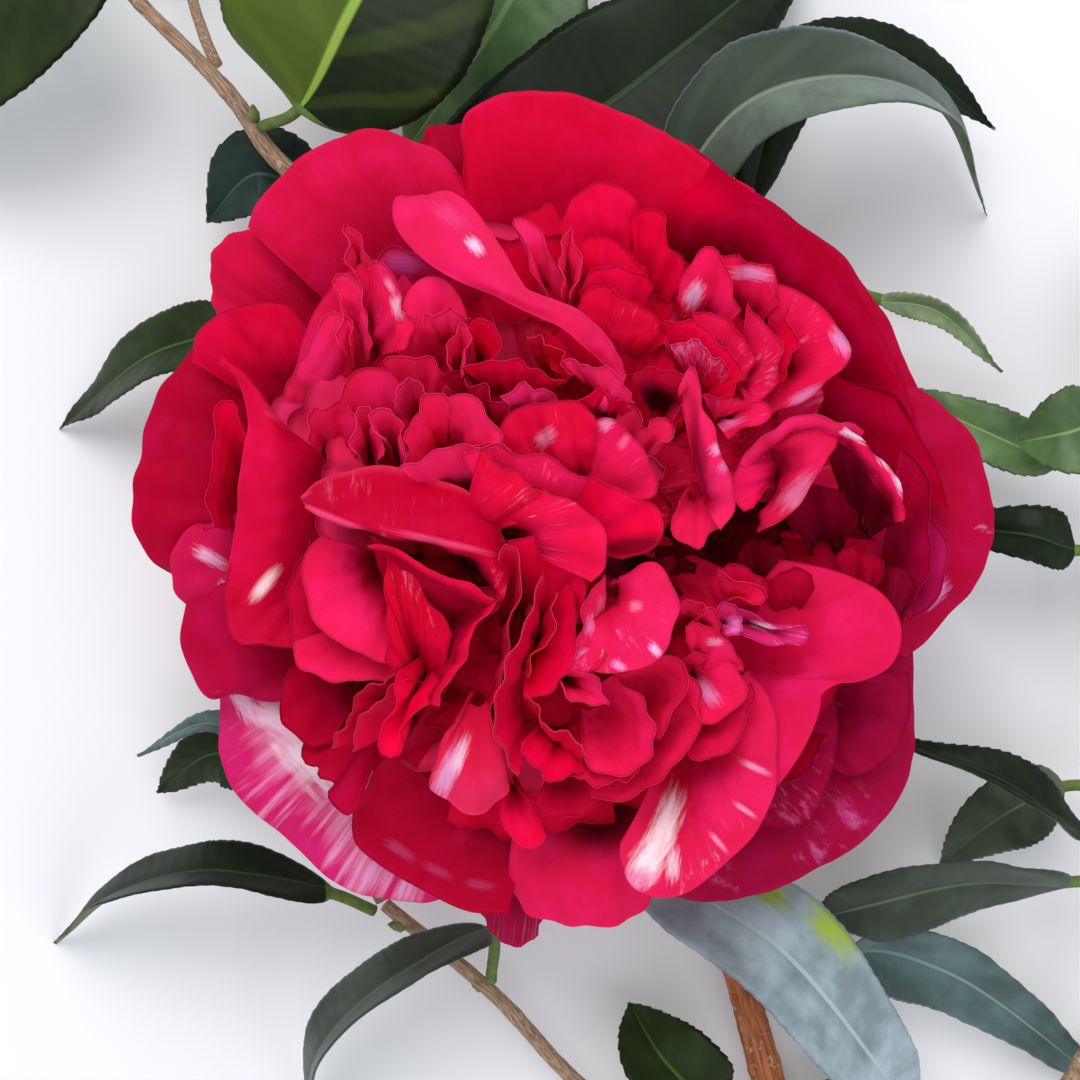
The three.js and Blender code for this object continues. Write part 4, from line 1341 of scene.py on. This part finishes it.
        Mark((650, 856), 4.4, 2.2, 60, (250, 222, 232), 1.0),
        Mark((672, 862), 2.6, 0.9, 85, (246, 200, 220)),
        Mark((636, 880), 2.8, 1.6, 20, (238, 130, 180)),
        Mark((752, 764), 2.2, 0.5, -25, strength=0.6),
        Mark((742, 806), 1.8, 0.4, -35, strength=0.6),
        Mark((716, 838), 1.8, 0.4, -50, strength=0.5),
    ]),
    "lower_shadow": Petal("dark_flecked", (50, 52, 51, 50), foot=(730, 720, 42), arch=2, rim=[
        (832, 690), (838, 730), (832, 770), (822, 800), (806, 822), (784, 828), (762, 824),
    ]),
    "lower_shadow_next": Petal("dark_flecked", (47, 49, 49, 47), foot=(800, 690, 40), arch=2, rim=[
        (908, 672), (910, 712), (898, 745), (884, 762), (853, 775), (832, 766), (824, 744),
    ]),
    "lower_shadow_fold": Petal("crimson", (56, 57, 55), foot=(760, 740, 48), arch=1, rim=[
        (774, 786), (792, 778), (808, 766), (820, 752), (826, 732),
    ]),
    "bottom_left": Petal("crimson", (64, 60, 56, 52, 52), foot=(530, 720, 42), arch=2, rim=[
        (436, 704), (414, 730), (392, 756), (368, 792), (353, 838), (378, 864), (426, 892), (470, 912),
        (508, 914),
    ], marks=[
        Mark((396, 858), 2.6, 0.8, -42, (190, 70, 120), 0.5),
        Mark((434, 882), 2.4, 0.7, -30, (184, 60, 112), 0.5),
        Mark((478, 896), 2.2, 0.7, -12, (184, 60, 112), 0.5),
        Mark((470, 830), 5.0, 1.2, 55, (200, 14, 58), 0.7, 0.6),
    ]),
    "tongue": Petal("tongue", (68, 66, 65, 66), foot=(478, 700, 66), arch=2, rim=[
        (448, 738), (432, 770), (429, 790), (448, 804), (468, 814), (486, 813), (497, 802), (510, 792),
        (512, 770), (504, 742),
    ], marks=[
        Mark((450, 766), 4.4, 1.3, 66, (228, 160, 206)),
        Mark((462, 750), 3.0, 0.8, 70, (236, 190, 216)),
    ]),
    "tongue_small": Petal("bright", (60, 61, 60), foot=(512, 780, 56), arch=2, rim=[
        (498, 804), (503, 828), (516, 842), (532, 849), (546, 838), (540, 820), (530, 806),
    ]),
    "bottom_crumbs": Petal("rose", (64, 64, 63), foot=(560, 770, 56), arch=1, rim=[
        (536, 800), (548, 816), (566, 818), (584, 812), (600, 804), (604, 790),
    ]),
    "right_hood": Petal("hood", (67, 69, 69, 67, 64), arch=2.5, rim=[
        (774, 437), (800, 431), (828, 429), (837, 437), (829, 456), (814, 480), (793, 509), (774, 525),
        (757, 532),
    ], back_height=(64, 62, 60, 60), back=[
        (770, 440), (772, 452), (776, 470), (775, 492), (768, 512), (757, 528),
    ], marks=[
        Mark((790, 494), 3.2, 1.5, 50, (226, 126, 166), 0.7),
    ]),
    "right_arch": Petal("violet_edge", (66, 69, 67, 63), foot=(860, 530, 42), arch=-1, rim=[
        (824, 436), (845, 442), (862, 455), (872, 472), (886, 488), (896, 505), (900, 524),
    ]),
    "right_arch_rim": Petal("pink_flecked", (69, 71, 70, 67), arch=0.6, rim=[
        (823, 427), (846, 430), (866, 442), (881, 461), (896, 477), (904, 497), (904, 520),
    ], back_height=(67, 68, 67, 64), back=[
        (828, 438), (844, 443), (858, 455), (869, 473), (882, 489), (893, 505), (896, 522),
    ], marks=[
        Mark((847, 437), 3.0, 1.1, -28, (240, 222, 248), 1.0),
        Mark((869, 457), 2.6, 1.0, -52, (240, 222, 248), 1.0),
        Mark((892, 488), 2.8, 1.0, -60, (230, 196, 232), 1.0),
    ]),
    "right_arch_back": Petal("pink", (68, 71, 71, 69), arch=0.8, rim=[
        (740, 464), (755, 446), (771, 429), (790, 420), (813, 416), (840, 420), (864, 434),
    ], back_height=(64, 67, 67, 66), back=[
        (748, 470), (762, 454), (776, 440), (795, 431), (815, 427), (838, 430), (856, 440),
    ]),
    # painted shade: a dark petal for the shadowed wall of the hollow
    "hollow_wall_left": Petal("shade", (60, 62, 60), foot=(820, 560, 44), arch=2, rim=[
        (796, 530), (800, 505), (815, 486), (834, 490), (848, 508), (850, 528),
    ]),
    "hollow_frill": Petal("crimson", (60, 62, 61), foot=(856, 598, 52), arch=2, rim=[
        (826, 568), (838, 555), (852, 549), (868, 553), (880, 563), (884, 575),
    ]),
    "hollow_frill_left": Petal("crimson", (67, 69, 68), foot=(786, 616, 60), arch=1.5, rim=[
        (756, 592), (768, 578), (788, 571), (806, 574), (816, 587),
    ]),
    # painted shade: a dark frill in the shadowed hollow
    "hollow_frill_mid": Petal("shade", (60, 62, 60), foot=(760, 590, 50), arch=2, rim=[
        (736, 560), (748, 547), (764, 541), (780, 548), (788, 562),
    ]),
    "hollow_frill_low": Petal("rose", (67, 69, 68), foot=(742, 622, 60), arch=1.5, rim=[
        (706, 592), (716, 574), (738, 566), (756, 574), (766, 592),
    ]),
    # painted shade: a dark frill in the shadowed hollow
    "hollow_frill_right": Petal("shade", (58, 60, 59), foot=(880, 640, 48), arch=2, rim=[
        (868, 590), (880, 574), (894, 566), (908, 576), (914, 596),
    ]),
    "right_small": Petal("pink_flecked", (66, 68, 66), foot=(775, 470, 54), arch=3, rim=[
        (758, 456), (742, 462), (734, 472), (736, 492), (746, 508), (758, 496),
    ]),
    "right_inside": Petal("crimson_flecked", (56, 58, 56), foot=(880, 600, 44), arch=2, rim=[
        (900, 446), (920, 470), (930, 510), (926, 560), (912, 600), (900, 630),
    ]),
    "right_magenta": Petal("magenta", (52, 54, 52), foot=(900, 560, 42), arch=2, rim=[
        (915, 505), (934, 520), (944, 548), (944, 580), (930, 606), (908, 616),
    ]),
    # upper right
    "upper_fold": Petal("fold_back", (46, 51, 52, 51, 49, 47, 46), foot=(700, 345, 40),
        relief={"fan": 0, "pleat": 0.15, "frill": 0.04, "crinkle": 0.02}, rim=[
        (684, 146), (752, 188), (806, 228), (846, 268), (874, 312), (896, 356), (912, 398), (924, 440),
    ], via=[
        Fold([(660, 228), (700, 223), (728, 221), (752, 230), (778, 256), (806, 286), (836, 316),
              (864, 350), (888, 392)], (49, 57, 60, 61, 60, 59, 57, 55, 53)),
    ], marks=[
        Mark((692, 178), 8.0, 4.2, -32, (206, 0, 46), 0.9, 0.3),
    ]),
    "upper_band": Petal("crimson_bright", (48, 52, 53, 51), foot=(760, 400, 42), arch=2,
        relief={"fan": 0.05, "pleat": 0.3, "crinkle": 0.03}, rim=[
        (772, 262), (806, 290), (840, 322), (870, 358), (896, 400), (920, 440), (938, 476), (948, 510),
    ]),
    "crinkle_point": Petal("pink_flecked", (64, 67, 65), foot=(704, 340, 54), arch=2, rim=[
        (680, 300), (688, 268), (707, 248), (720, 260), (732, 286), (736, 312),
    ], marks=[
        # painted highlight: a pale violet glint on the point
        Mark((692, 298), 1.9, 1.2, 60, (240, 190, 236)),
    ]),
    "crinkle_back": Petal("pink_flecked", (62, 64, 62), foot=(745, 330, 52), arch=2, rim=[
        (714, 256), (740, 260), (768, 267), (777, 284), (772, 304),
    ], marks=[
        # painted highlight: a pinkish glint on the petal
        Mark((750, 276), 3.0, 0.9, -10, (238, 150, 205)),
    ]),
    "crinkle_side": Petal("pink_flecked", (62, 65, 66, 64), foot=(770, 380, 52), arch=3, rim=[
        (770, 284), (800, 294), (824, 309), (842, 332), (850, 352), (838, 370), (816, 384), (790, 402),
        (766, 416),
    ], marks=[
        Mark((838, 345), 2.4, 1.3, -60, (232, 150, 210)),
        Mark((800, 398), 2.6, 0.8, 30, (222, 130, 190)),
    ]),
    "crinkle_mid": Petal("pink_flecked", (66, 68, 66), foot=(740, 390, 54), arch=3, rim=[
        (744, 306), (770, 330), (779, 352), (777, 374), (763, 394), (745, 402),
    ]),
    "crinkle_next": Petal("bright", (65, 67, 65), foot=(760, 370, 54), arch=2, rim=[
        (784, 308), (793, 342), (786, 368), (770, 392),
    ]),
    "crinkle_fold": Petal("bright", (70, 72, 70), foot=(690, 400, 56), arch=2, rim=[
        (664, 322), (684, 322), (708, 334), (728, 354), (738, 376), (732, 396),
    ]),
    "crinkle_spread": Petal("pink_flecked", (66, 68, 66), foot=(720, 380, 58), arch=2, rim=[
        (692, 310), (720, 318), (742, 336), (752, 358), (746, 380),
    ]),
    "crinkle_lip": Petal("pink_flecked", (71, 72, 70), foot=(700, 390, 60), arch=1, rim=[
        (670, 346), (694, 344), (716, 358), (730, 376),
    ]),
    "crinkle_strap": Petal("pink", (73, 75, 74, 72), foot=(700, 480, 67), arch=1.5, rim=[
        (682, 400), (684, 378), (690, 366), (698, 382), (704, 410), (714, 440), (730, 474), (731, 508),
        (720, 530),
    ], marks=[
        # painted highlights: lavender glints along the strap
        Mark((710, 452), 1.5, 0.8, 30, (236, 160, 214)),
        Mark((716, 468), 1.4, 0.7, 50, (226, 120, 170)),
    ]),
    "crinkle_plain": Petal("pink_flecked", (68, 70, 68), foot=(716, 420, 60), arch=2, rim=[
        (702, 400), (730, 398), (760, 404), (772, 414), (752, 426), (726, 436),
    ], marks=[
        Mark((724, 427), 2.4, 0.7, 22, (238, 110, 180), 0.8),
    ]),
    "crinkle_low": Petal("hot", (68, 69, 67), foot=(690, 490, 58), arch=2, rim=[
        (677, 500), (676, 530), (686, 546), (700, 546), (708, 534), (722, 526),
    ]),
    # above the centre
    "over_pink": Petal("pink", (75, 77, 75), foot=(604, 400, 62), arch=3, rim=[
        (562, 364), (584, 366), (606, 372), (622, 384), (632, 396), (630, 404),
    ]),
    "over_lines": Petal("bright", (74, 75, 74), foot=(606, 420, 60), arch=1, rim=[
        (578, 404), (592, 396), (614, 397), (632, 410),
    ]),
    "over_left": Petal("pink", (75, 76, 74), foot=(536, 420, 60), arch=3, rim=[
        (500, 398), (516, 390), (536, 388), (552, 398), (560, 408),
    ]),
    "over_long": Petal("bright", (73, 74, 73), foot=(510, 400, 56), arch=2, rim=[
        (466, 374), (482, 362), (506, 362), (526, 372), (548, 377), (566, 384),
    ]),
    "over_leaf": Petal("edge", (70, 72, 71), foot=(556, 390, 54), arch=1, rim=[
        (526, 338), (546, 344), (560, 362), (564, 378),
    ]),
    "under_strap": Petal("hot", (65, 67, 66), foot=(440, 392, 56), arch=2, rim=[
        (398, 350), (400, 314), (411, 287), (430, 276), (450, 288), (462, 316), (468, 350),
    ]),
    "under_strap_bar": Petal("pink", (69, 70, 69), foot=(448, 344, 62), arch=1, rim=[
        (424, 328), (428, 316), (444, 312), (460, 314), (468, 322),
    ]),
    "over_slant": Petal("crimson", (70, 71, 71), foot=(498, 430, 60), arch=1, rim=[
        (440, 378), (450, 372), (468, 384), (486, 398), (500, 412),
    ]),
    "over_drop": Petal("bright", (70, 72, 70), foot=(480, 380, 54), arch=1, rim=[
        (476, 352), (474, 322), (478, 317), (490, 332), (498, 352), (492, 364),
    ]),
    "over_slim": Petal("pink", (70, 72, 72), foot=(458, 400, 56), rim=[
        (452, 370), (455, 336), (462, 324), (465, 340), (462, 374),
    ]),
    "over_strap_back": Petal("bright", (68, 70, 69), foot=(580, 372, 54), arch=2, rim=[
        (546, 328), (550, 350), (562, 366), (582, 374), (600, 380),
    ]),
    "over_left_low": Petal("rose", (73, 74, 73), foot=(500, 430, 58), arch=2, rim=[
        (462, 382), (478, 390), (492, 398), (506, 412), (500, 428),
    ]),
    "over_right": Petal("rose", (72, 74, 73), foot=(660, 420, 58), arch=2, rim=[
        (632, 380), (650, 372), (672, 372), (684, 382), (680, 402), (668, 414),
    ], marks=[
        # painted shadow: a near-black patch for a dark hole between the petals
        Mark((655, 403), 3.8, 1.8, -22, (44, 0, 10), 0.97, 0.4),
    ]),
}


def inner_lines(petal):
    """The lines of an inner petal from its foot to its rim."""
    rim = picture_line(petal.rim, petal.height)
    if petal.foot:
        start = seen(*petal.foot) + (rim - rim.mean(0)) * [FOOT_WIDTH, FOOT_WIDTH, 0]
    else:
        start = picture_line(petal.back, petal.back_height)
    if petal.via:
        return [start, *(picture_line(*fold) for fold in petal.via), rim]
    steps = 8
    first, last = evenly(start, steps), evenly(rim, steps)
    climb = last - first
    outward = unit(np.cross(np.cross(climb, UP), climb))
    bulge = petal.arch * np.sin(np.linspace(0.15, 0.85, steps + 1) * math.pi)[:, None]
    return [start, first + climb * BELLY_SHARE + outward * bulge, rim]


def make_inner_petals(materials):
    for seed, (name, petal) in enumerate(INNER_PETALS.items()):
        shape = petal_shape(inner_lines(petal), 100 + seed, **{**INNER_RELIEF, **petal.relief})
        finish = petal_finish(petal.finish, name, petal.marks, materials)
        make_piece(f"petal_{name}", *shape, [finish], slot="petal")


# Whorls of upright petals that fill the bloom under the named ones: how far out their rims are,
# and how far those are below the crown, which is the bloom's rounded top.
WHORLS = (
    {"count": 5, "reach": 5.0, "fall": 9.0},
    {"count": 9, "reach": 11.0, "fall": 8.0},
    {"count": 12, "reach": 17.0, "fall": 9.0},
    {"count": 15, "reach": 23.0, "fall": 9.0},
    {"count": 17, "reach": 29.0, "fall": 10.0},
    {"count": 19, "reach": 34.5, "fall": 11.0},
    {"count": 20, "reach": 39.0, "fall": 12.0},
)
WHORL_RELIEF = {"pleat": 0.6, "frill": 0.12, "curl": 2.0, "step": (0.9, 1.45)}
WHORL_FOOT = 31.0
WHORL_FINISHES = ("whorl_crimson", "whorl_red", "whorl_rose", "whorl_pink", "whorl_painted_shade")
PAINTED_SHADE = WHORL_FINISHES.index("whorl_painted_shade")
PAINTED_SHADE_DEPTH = 6.0                 # petals sunk deeper than this in a hollow take the painted shade finish
PINK_SIDE = math.radians(140)    # the side of the bloom with more of the pinker petals
CROWN = {"reach": (0, 20, 32, 42, 50), "height": (78, 76, 71, 63, 54)}
# The dark hollows in the crown.
HOLLOWS = (
    {"place": (835, 500), "radius": 9.0, "depth": 22.0},
    {"place": (740, 550), "radius": 7.0, "depth": 14.0},
    {"place": (455, 560), "radius": 8.0, "depth": 14.0},
    {"place": (515, 350), "radius": 4.0, "depth": 8.0},
    {"place": (512, 620), "radius": 4.0, "depth": 12.0},
    {"place": (680, 548), "radius": 5.0, "depth": 14.0},
)


def crown_height(x, y):
    """The height of the bloom's rounded top, with its hollows."""
    height = np.interp(math.hypot(x, y), CROWN["reach"], CROWN["height"])
    for hollow in HOLLOWS:
        middle = seen(*hollow["place"], FACE_HEIGHT)
        away = math.hypot(x - middle[0], y - middle[1]) / hollow["radius"]
        height -= hollow["depth"] * math.exp(-(away**2))
    return height


def make_whorls(materials):
    random = np.random.default_rng(5)
    petals = Gathering()
    wears = [petal_finish(name, "", (), materials) for name in WHORL_FINISHES]
    for whorl in WHORLS:
        for number in range(whorl["count"]):
            middle = 2 * math.pi * (number + random.uniform(-0.35, 0.35)) / whorl["count"]
            reach = whorl["reach"] + random.uniform(-1.5, 1.5)
            half_width = 0.75 * 2 * math.pi / whorl["count"] * random.uniform(0.8, 1.2)
            turn = np.linspace(1, -1, 7)
            angle = middle + turn * half_width
            curl = random.uniform(-2.0, 2.0)
            out = reach + curl * turn**2 + random.uniform(-0.8, 0.8, 7)
            crown = crown_height(reach * math.cos(middle), reach * math.sin(middle))
            height = crown - whorl["fall"] + random.uniform(-2, 2) - 3.0 * turn**2
            rim = np.stack([out * np.cos(angle), out * np.sin(angle), height], 1)
            foot = rim * [0.3, 0.3, 0] + [0, 0, WHORL_FOOT]
            belly = rim * [BELLY_SHARE, BELLY_SHARE, 0]
            belly[:, 2] = WHORL_FOOT + BELLY_SHARE * (height - WHORL_FOOT)
            shape = petal_shape([foot, belly, rim], int(random.integers(1e6)), **WHORL_RELIEF)
            sunk = np.interp(reach, CROWN["reach"], CROWN["height"]) - crown
            pinker = 0.5 + 0.5 * math.cos(middle - PINK_SIDE)
            shares = (0.3 - 0.25 * pinker, 0.5 - 0.2 * pinker, 0.15 + 0.2 * pinker, 0.05 + 0.25 * pinker)
            wear = int(random.choice(len(shares), p=shares))
            # petals deep in a hollow wear painted shade, dark for the shadow there
            petals.add(*shape, PAINTED_SHADE if sunk > PAINTED_SHADE_DEPTH else wear)
    petals.make("whorl_petals", wears, node="bloom", slot="petal")


# ---- all materials -----------------------------------------------------------------------------

DEEP_RED = (150, 0, 34)
# painted highlight: the pale pink that most petals take at their rims, for the light their curled edges catch
PALE_RIM = (240, 60, 104)

# Each finish: the colours of a petal's face, of its foot (deep) and of its rim, and how many white
# marks it has. A foot is DEEP_RED and a rim PALE_RIM where the finish names no other.
PETAL_FINISHES = {
    "bright": {"face": (232, 4, 58)},
    "bright_outer": {"face": (204, 0, 46)},
    "rose": {"face": (202, 10, 58)},
    "rose_light": {"face": (222, 22, 76), "deep": (206, 6, 56), "rim": (236, 50, 100)},
    # shade: painted shade, for petals set dark in the bloom's shadowed hollows and gaps
    "shade": {"face": (128, 0, 34), "deep": (70, 0, 18), "rim": (150, 10, 50)},
    "matt_rose": {"face": (206, 6, 56), "deep": (190, 0, 46)},
    "crimson": {"face": (172, 0, 42), "rim": (206, 30, 72)},
    "crimson_bright": {"face": (172, 0, 40), "rim": (196, 16, 54), "shine": 0.0},
    "fold_back": {"face": (172, 0, 38), "deep": (110, 0, 26), "rim": (176, 4, 44), "shine": 0.0},
    "crimson_flecked": {"face": (176, 4, 52), "rim": (198, 34, 80), "flecks": 0.2},
    "dark_flecked": {"face": (160, 6, 54), "rim": (186, 40, 88), "flecks": 0.42, "fleck": (206, 90, 150)},
    "blotched": {"face": (160, 10, 56), "streaks": 0.3, "fleck": (204, 140, 176)},
    "variegated": {"face": (206, 30, 100), "deep": (222, 80, 150), "rim": (176, 14, 72), "pale_foot": 0.62,
                   "streaks": 0.9, "fleck": (248, 182, 224)},
    "violet_flecked": {"face": (198, 16, 72), "streaks": 0.3, "fleck": (206, 96, 168)},
    "violet": {"face": (210, 36, 104), "deep": (190, 14, 76), "rim": (224, 100, 160), "streaks": 0.35,
               "fleck": (240, 176, 226)},
    "violet_edge": {"face": (140, 0, 40), "rim": (220, 150, 200), "streaks": 0.2},
    "spotted": {"face": (190, 2, 46), "flecks": 0.2},
    "magenta": {"face": (190, 22, 88)},
    "red_flecked": {"face": (226, 10, 58), "flecks": 0.42, "fleck": (240, 120, 160)},
    "red_streaked": {"face": (226, 14, 64), "streaks": 0.35, "flecks": 0.4},
    "pink_flecked": {"face": (232, 22, 80), "flecks": 0.42, "fleck": (238, 124, 184)},
    "pink": {"face": (240, 34, 94), "deep": (180, 6, 50), "rim": (244, 90, 130)},
    "hot": {"face": (236, 26, 82), "deep": (184, 6, 50), "rim": (244, 80, 120)},
    "hot_plain": {"face": (218, 20, 76), "deep": (208, 8, 60), "rim": (236, 50, 104)},
    "strap": {"face": (220, 24, 78), "deep": (224, 30, 84), "rim": (236, 60, 110)},
    "dotted": {"face": (206, 2, 44), "rim": (226, 50, 90), "flecks": 0.55, "fleck": (240, 110, 150)},
    # lip and edge: wider pale rims, a painted highlight along their rolled edges
    "lip": {"face": (190, 0, 42), "deep": (120, 0, 26), "rim": (232, 60, 100), "flecks": 0.35,
            "fleck": (226, 90, 130), "rim_share": 0.4},
    "edge": {"face": (212, 4, 52), "rim": (240, 80, 116), "rim_share": 0.35},
    "blister": {"face": (224, 26, 80), "deep": (210, 14, 64), "flecks": 0.25, "fleck": (240, 110, 180)},
    "white_blotch": {"face": (222, 26, 78), "deep": (196, 4, 54), "streaks": 0.25, "flecks": 0.25},
    "hood": {"face": (218, 22, 72), "flecks": 0.3},
    "tongue": {"face": (220, 36, 78), "deep": (214, 16, 62), "streaks": 0.3},
    "whorl_crimson": {"face": (200, 0, 46), "deep": (140, 0, 34)},
    "whorl_red": {"face": (228, 4, 56), "deep": (170, 0, 40), "flecks": 0.15},
    "whorl_rose": {"face": (238, 22, 74), "deep": (188, 2, 48), "flecks": 0.35},
    "whorl_pink": {"face": (244, 46, 104), "deep": (206, 10, 60)},
    # painted shade: the whorl petals sunk in the crown's hollows
    "whorl_painted_shade": {"face": (104, 0, 26), "deep": (60, 0, 16), "rim": (120, 0, 34)},
}


def petal_finish(finish, piece, marks, made):
    """The material of a finish, or one of the petal's own where it has marks."""
    name = f"petal_{piece}" if marks else f"petal_{finish}"
    if name not in made:
        words = {"deep": DEEP_RED, "rim": PALE_RIM, **PETAL_FINISHES[finish]}
        made[name] = petal_material(name, marks=marks, **words)
    return made[name]


# The yellow-green patches on the pale leaf at the lower right.
PATCHES = (
    Mark((742, 922), 5.0, 2.4, -25, (150, 172, 60), 1.0),
    Mark((796, 934), 4.0, 2.0, -35, (150, 172, 60), 1.0),
    Mark((872, 974), 6.0, 3.2, -50, (158, 184, 62), 1.0),
)


def make_materials():
    return {
        "plain_crimson": plain_petal_material("plain_crimson", (178, 0, 42)),
        "plain_red": plain_petal_material("plain_red", (212, 2, 52)),
        "dark": leaf_material("leaf_dark", (24, 38, 18), (54, 76, 42), 0.02, 0.14),
        "olive": leaf_material("leaf_olive", (38, 56, 18), (76, 100, 38), 0.02, 0.14),
        "dusk": leaf_material("leaf_dusk", (60, 72, 58), (96, 110, 90), 0.12, 0.2),
        "grey_olive": leaf_material("leaf_grey_olive", (84, 100, 76), (112, 128, 98), 0.15, 0.2),
        # blue: the blue-grey face is a painted sky reflection on the waxy leaf
        "blue": leaf_material("leaf_blue", (88, 116, 114), (140, 160, 154), 0.4),
        "teal": leaf_material("leaf_teal", (40, 62, 56), (70, 94, 84), 0.05, 0.14),
        # patched: the pale grey-blue face is a painted sky reflection on the waxy leaf; its yellow-green
        # patches are its own
        "patched": leaf_material("leaf_patched", (172, 192, 200), (184, 202, 206), 0.5, 0.3, PATCHES),
        "fresh": leaf_material("leaf_fresh", (156, 186, 130), (186, 206, 160), 0.15),
        "young": leaf_material("leaf_young", (98, 134, 78), (140, 170, 104), 0.15),
        # bright_rib: its other half painted lit olive. arched: its grey face a painted sky reflection, its
        # other half dark
        "bright_rib": leaf_material("leaf_bright_rib", (30, 46, 16), (160, 192, 80), 0.02, 0.12,
                                    half_in_other_light=(78, 98, 34)),
        "arched": leaf_material("leaf_arched", (104, 120, 102), (136, 150, 124), 0.3, 0.3,
                                half_in_other_light=(48, 62, 46)),
        "underside": under_leaf_material(),
        "stalk": scale_material("leaf_stalk", (104, 128, 58), (104, 128, 58)),
        "main_bark": bark_material("main_bark", (196, 118, 76), (138, 78, 48), (214, 160, 122)),
        "twig_bark": bark_material("twig_bark", (186, 156, 130), (126, 98, 78), (206, 188, 166)),
        "cut_wood": bark_material("cut_wood", (214, 190, 140), (180, 150, 104), (196, 168, 118)),
        "bud": scale_material("bud_scales", (118, 130, 70), (120, 84, 50)),
        "calyx": scale_material("calyx_scales", (112, 128, 66), (112, 82, 52)),
    }


# ---- floor and light ---------------------------------------------------------------------------

FLOOR_SIDE = 3000.0
FLOOR_HEIGHT = -0.05
FLOOR_COLOUR = (246, 246, 250)
SKY_COLOUR = (0.93, 0.96, 1.0, 1.0)
SKY_STRENGTH = 0.75
LAMP_SIDE = 460.0
LAMP_AIM = (0, 0, 30)
LAMPS = {
    "key": {"place": (-120.0, 380.0, 700.0), "power": 2.7, "colour": (1.0, 0.98, 0.96)},
    "fill": {"place": (200.0, -260.0, 640.0), "power": 0.75, "colour": (0.92, 0.95, 1.0)},
}


def make_floor():
    half = FLOOR_SIDE / 2
    corners = [(x, y, FLOOR_HEIGHT) for x, y in ((-half, -half), (half, -half), (half, half), (-half, half))]
    mesh = bpy.data.meshes.new("floor")
    mesh.from_pydata(in_frame(corners).tolist(), [], [(0, 1, 2, 3)])
    shader = Shader("floor")
    shader.set(Base_Color=linear(*FLOOR_COLOUR), Roughness=0.9, Specular_IOR_Level=0.1)
    mesh.materials.append(shader.material)
    floor = bpy.data.objects.new("floor", mesh)
    bpy.context.scene.collection.objects.link(floor)


def make_lamp(name, place, power, colour):
    """A soft round lamp that shines on the bloom."""
    data = bpy.data.lights.new(name, "AREA")
    data.shape = "DISK"
    data.size = LAMP_SIDE * MM
    data.energy = power
    data.color = colour
    lamp = bpy.data.objects.new(name, data)
    lamp.location = in_frame(place)
    way = unit(np.subtract(LAMP_AIM, place))
    lamp.rotation_euler = Vector(way).to_track_quat("-Z", "Y").to_euler()
    bpy.context.scene.collection.objects.link(lamp)


def make_light():
    world = bpy.data.worlds.new("world")
    world.use_nodes = True
    background = world.node_tree.nodes["Background"]
    background.inputs["Color"].default_value = SKY_COLOUR
    background.inputs["Strength"].default_value = SKY_STRENGTH
    bpy.context.scene.world = world
    for name, lamp in LAMPS.items():
        make_lamp(name, **lamp)
    bpy.context.scene.view_settings.view_transform = "Standard"


# ---- the scene ---------------------------------------------------------------------------------

make_camera()
materials = make_materials()
for name, stem in STEMS.items():
    make_stem(name, stem, materials)
    for number, leaf in enumerate(stem["leaves"], start=1):
        make_leaf(f"{name}_leaf_{number}", stem, leaf, number + len(name), materials)
make_buds(materials)
make_calyx(materials)
make_outer_petals(materials)
make_under_petals(materials)
make_inner_petals(materials)
make_whorls(materials)
make_floor()
make_light()
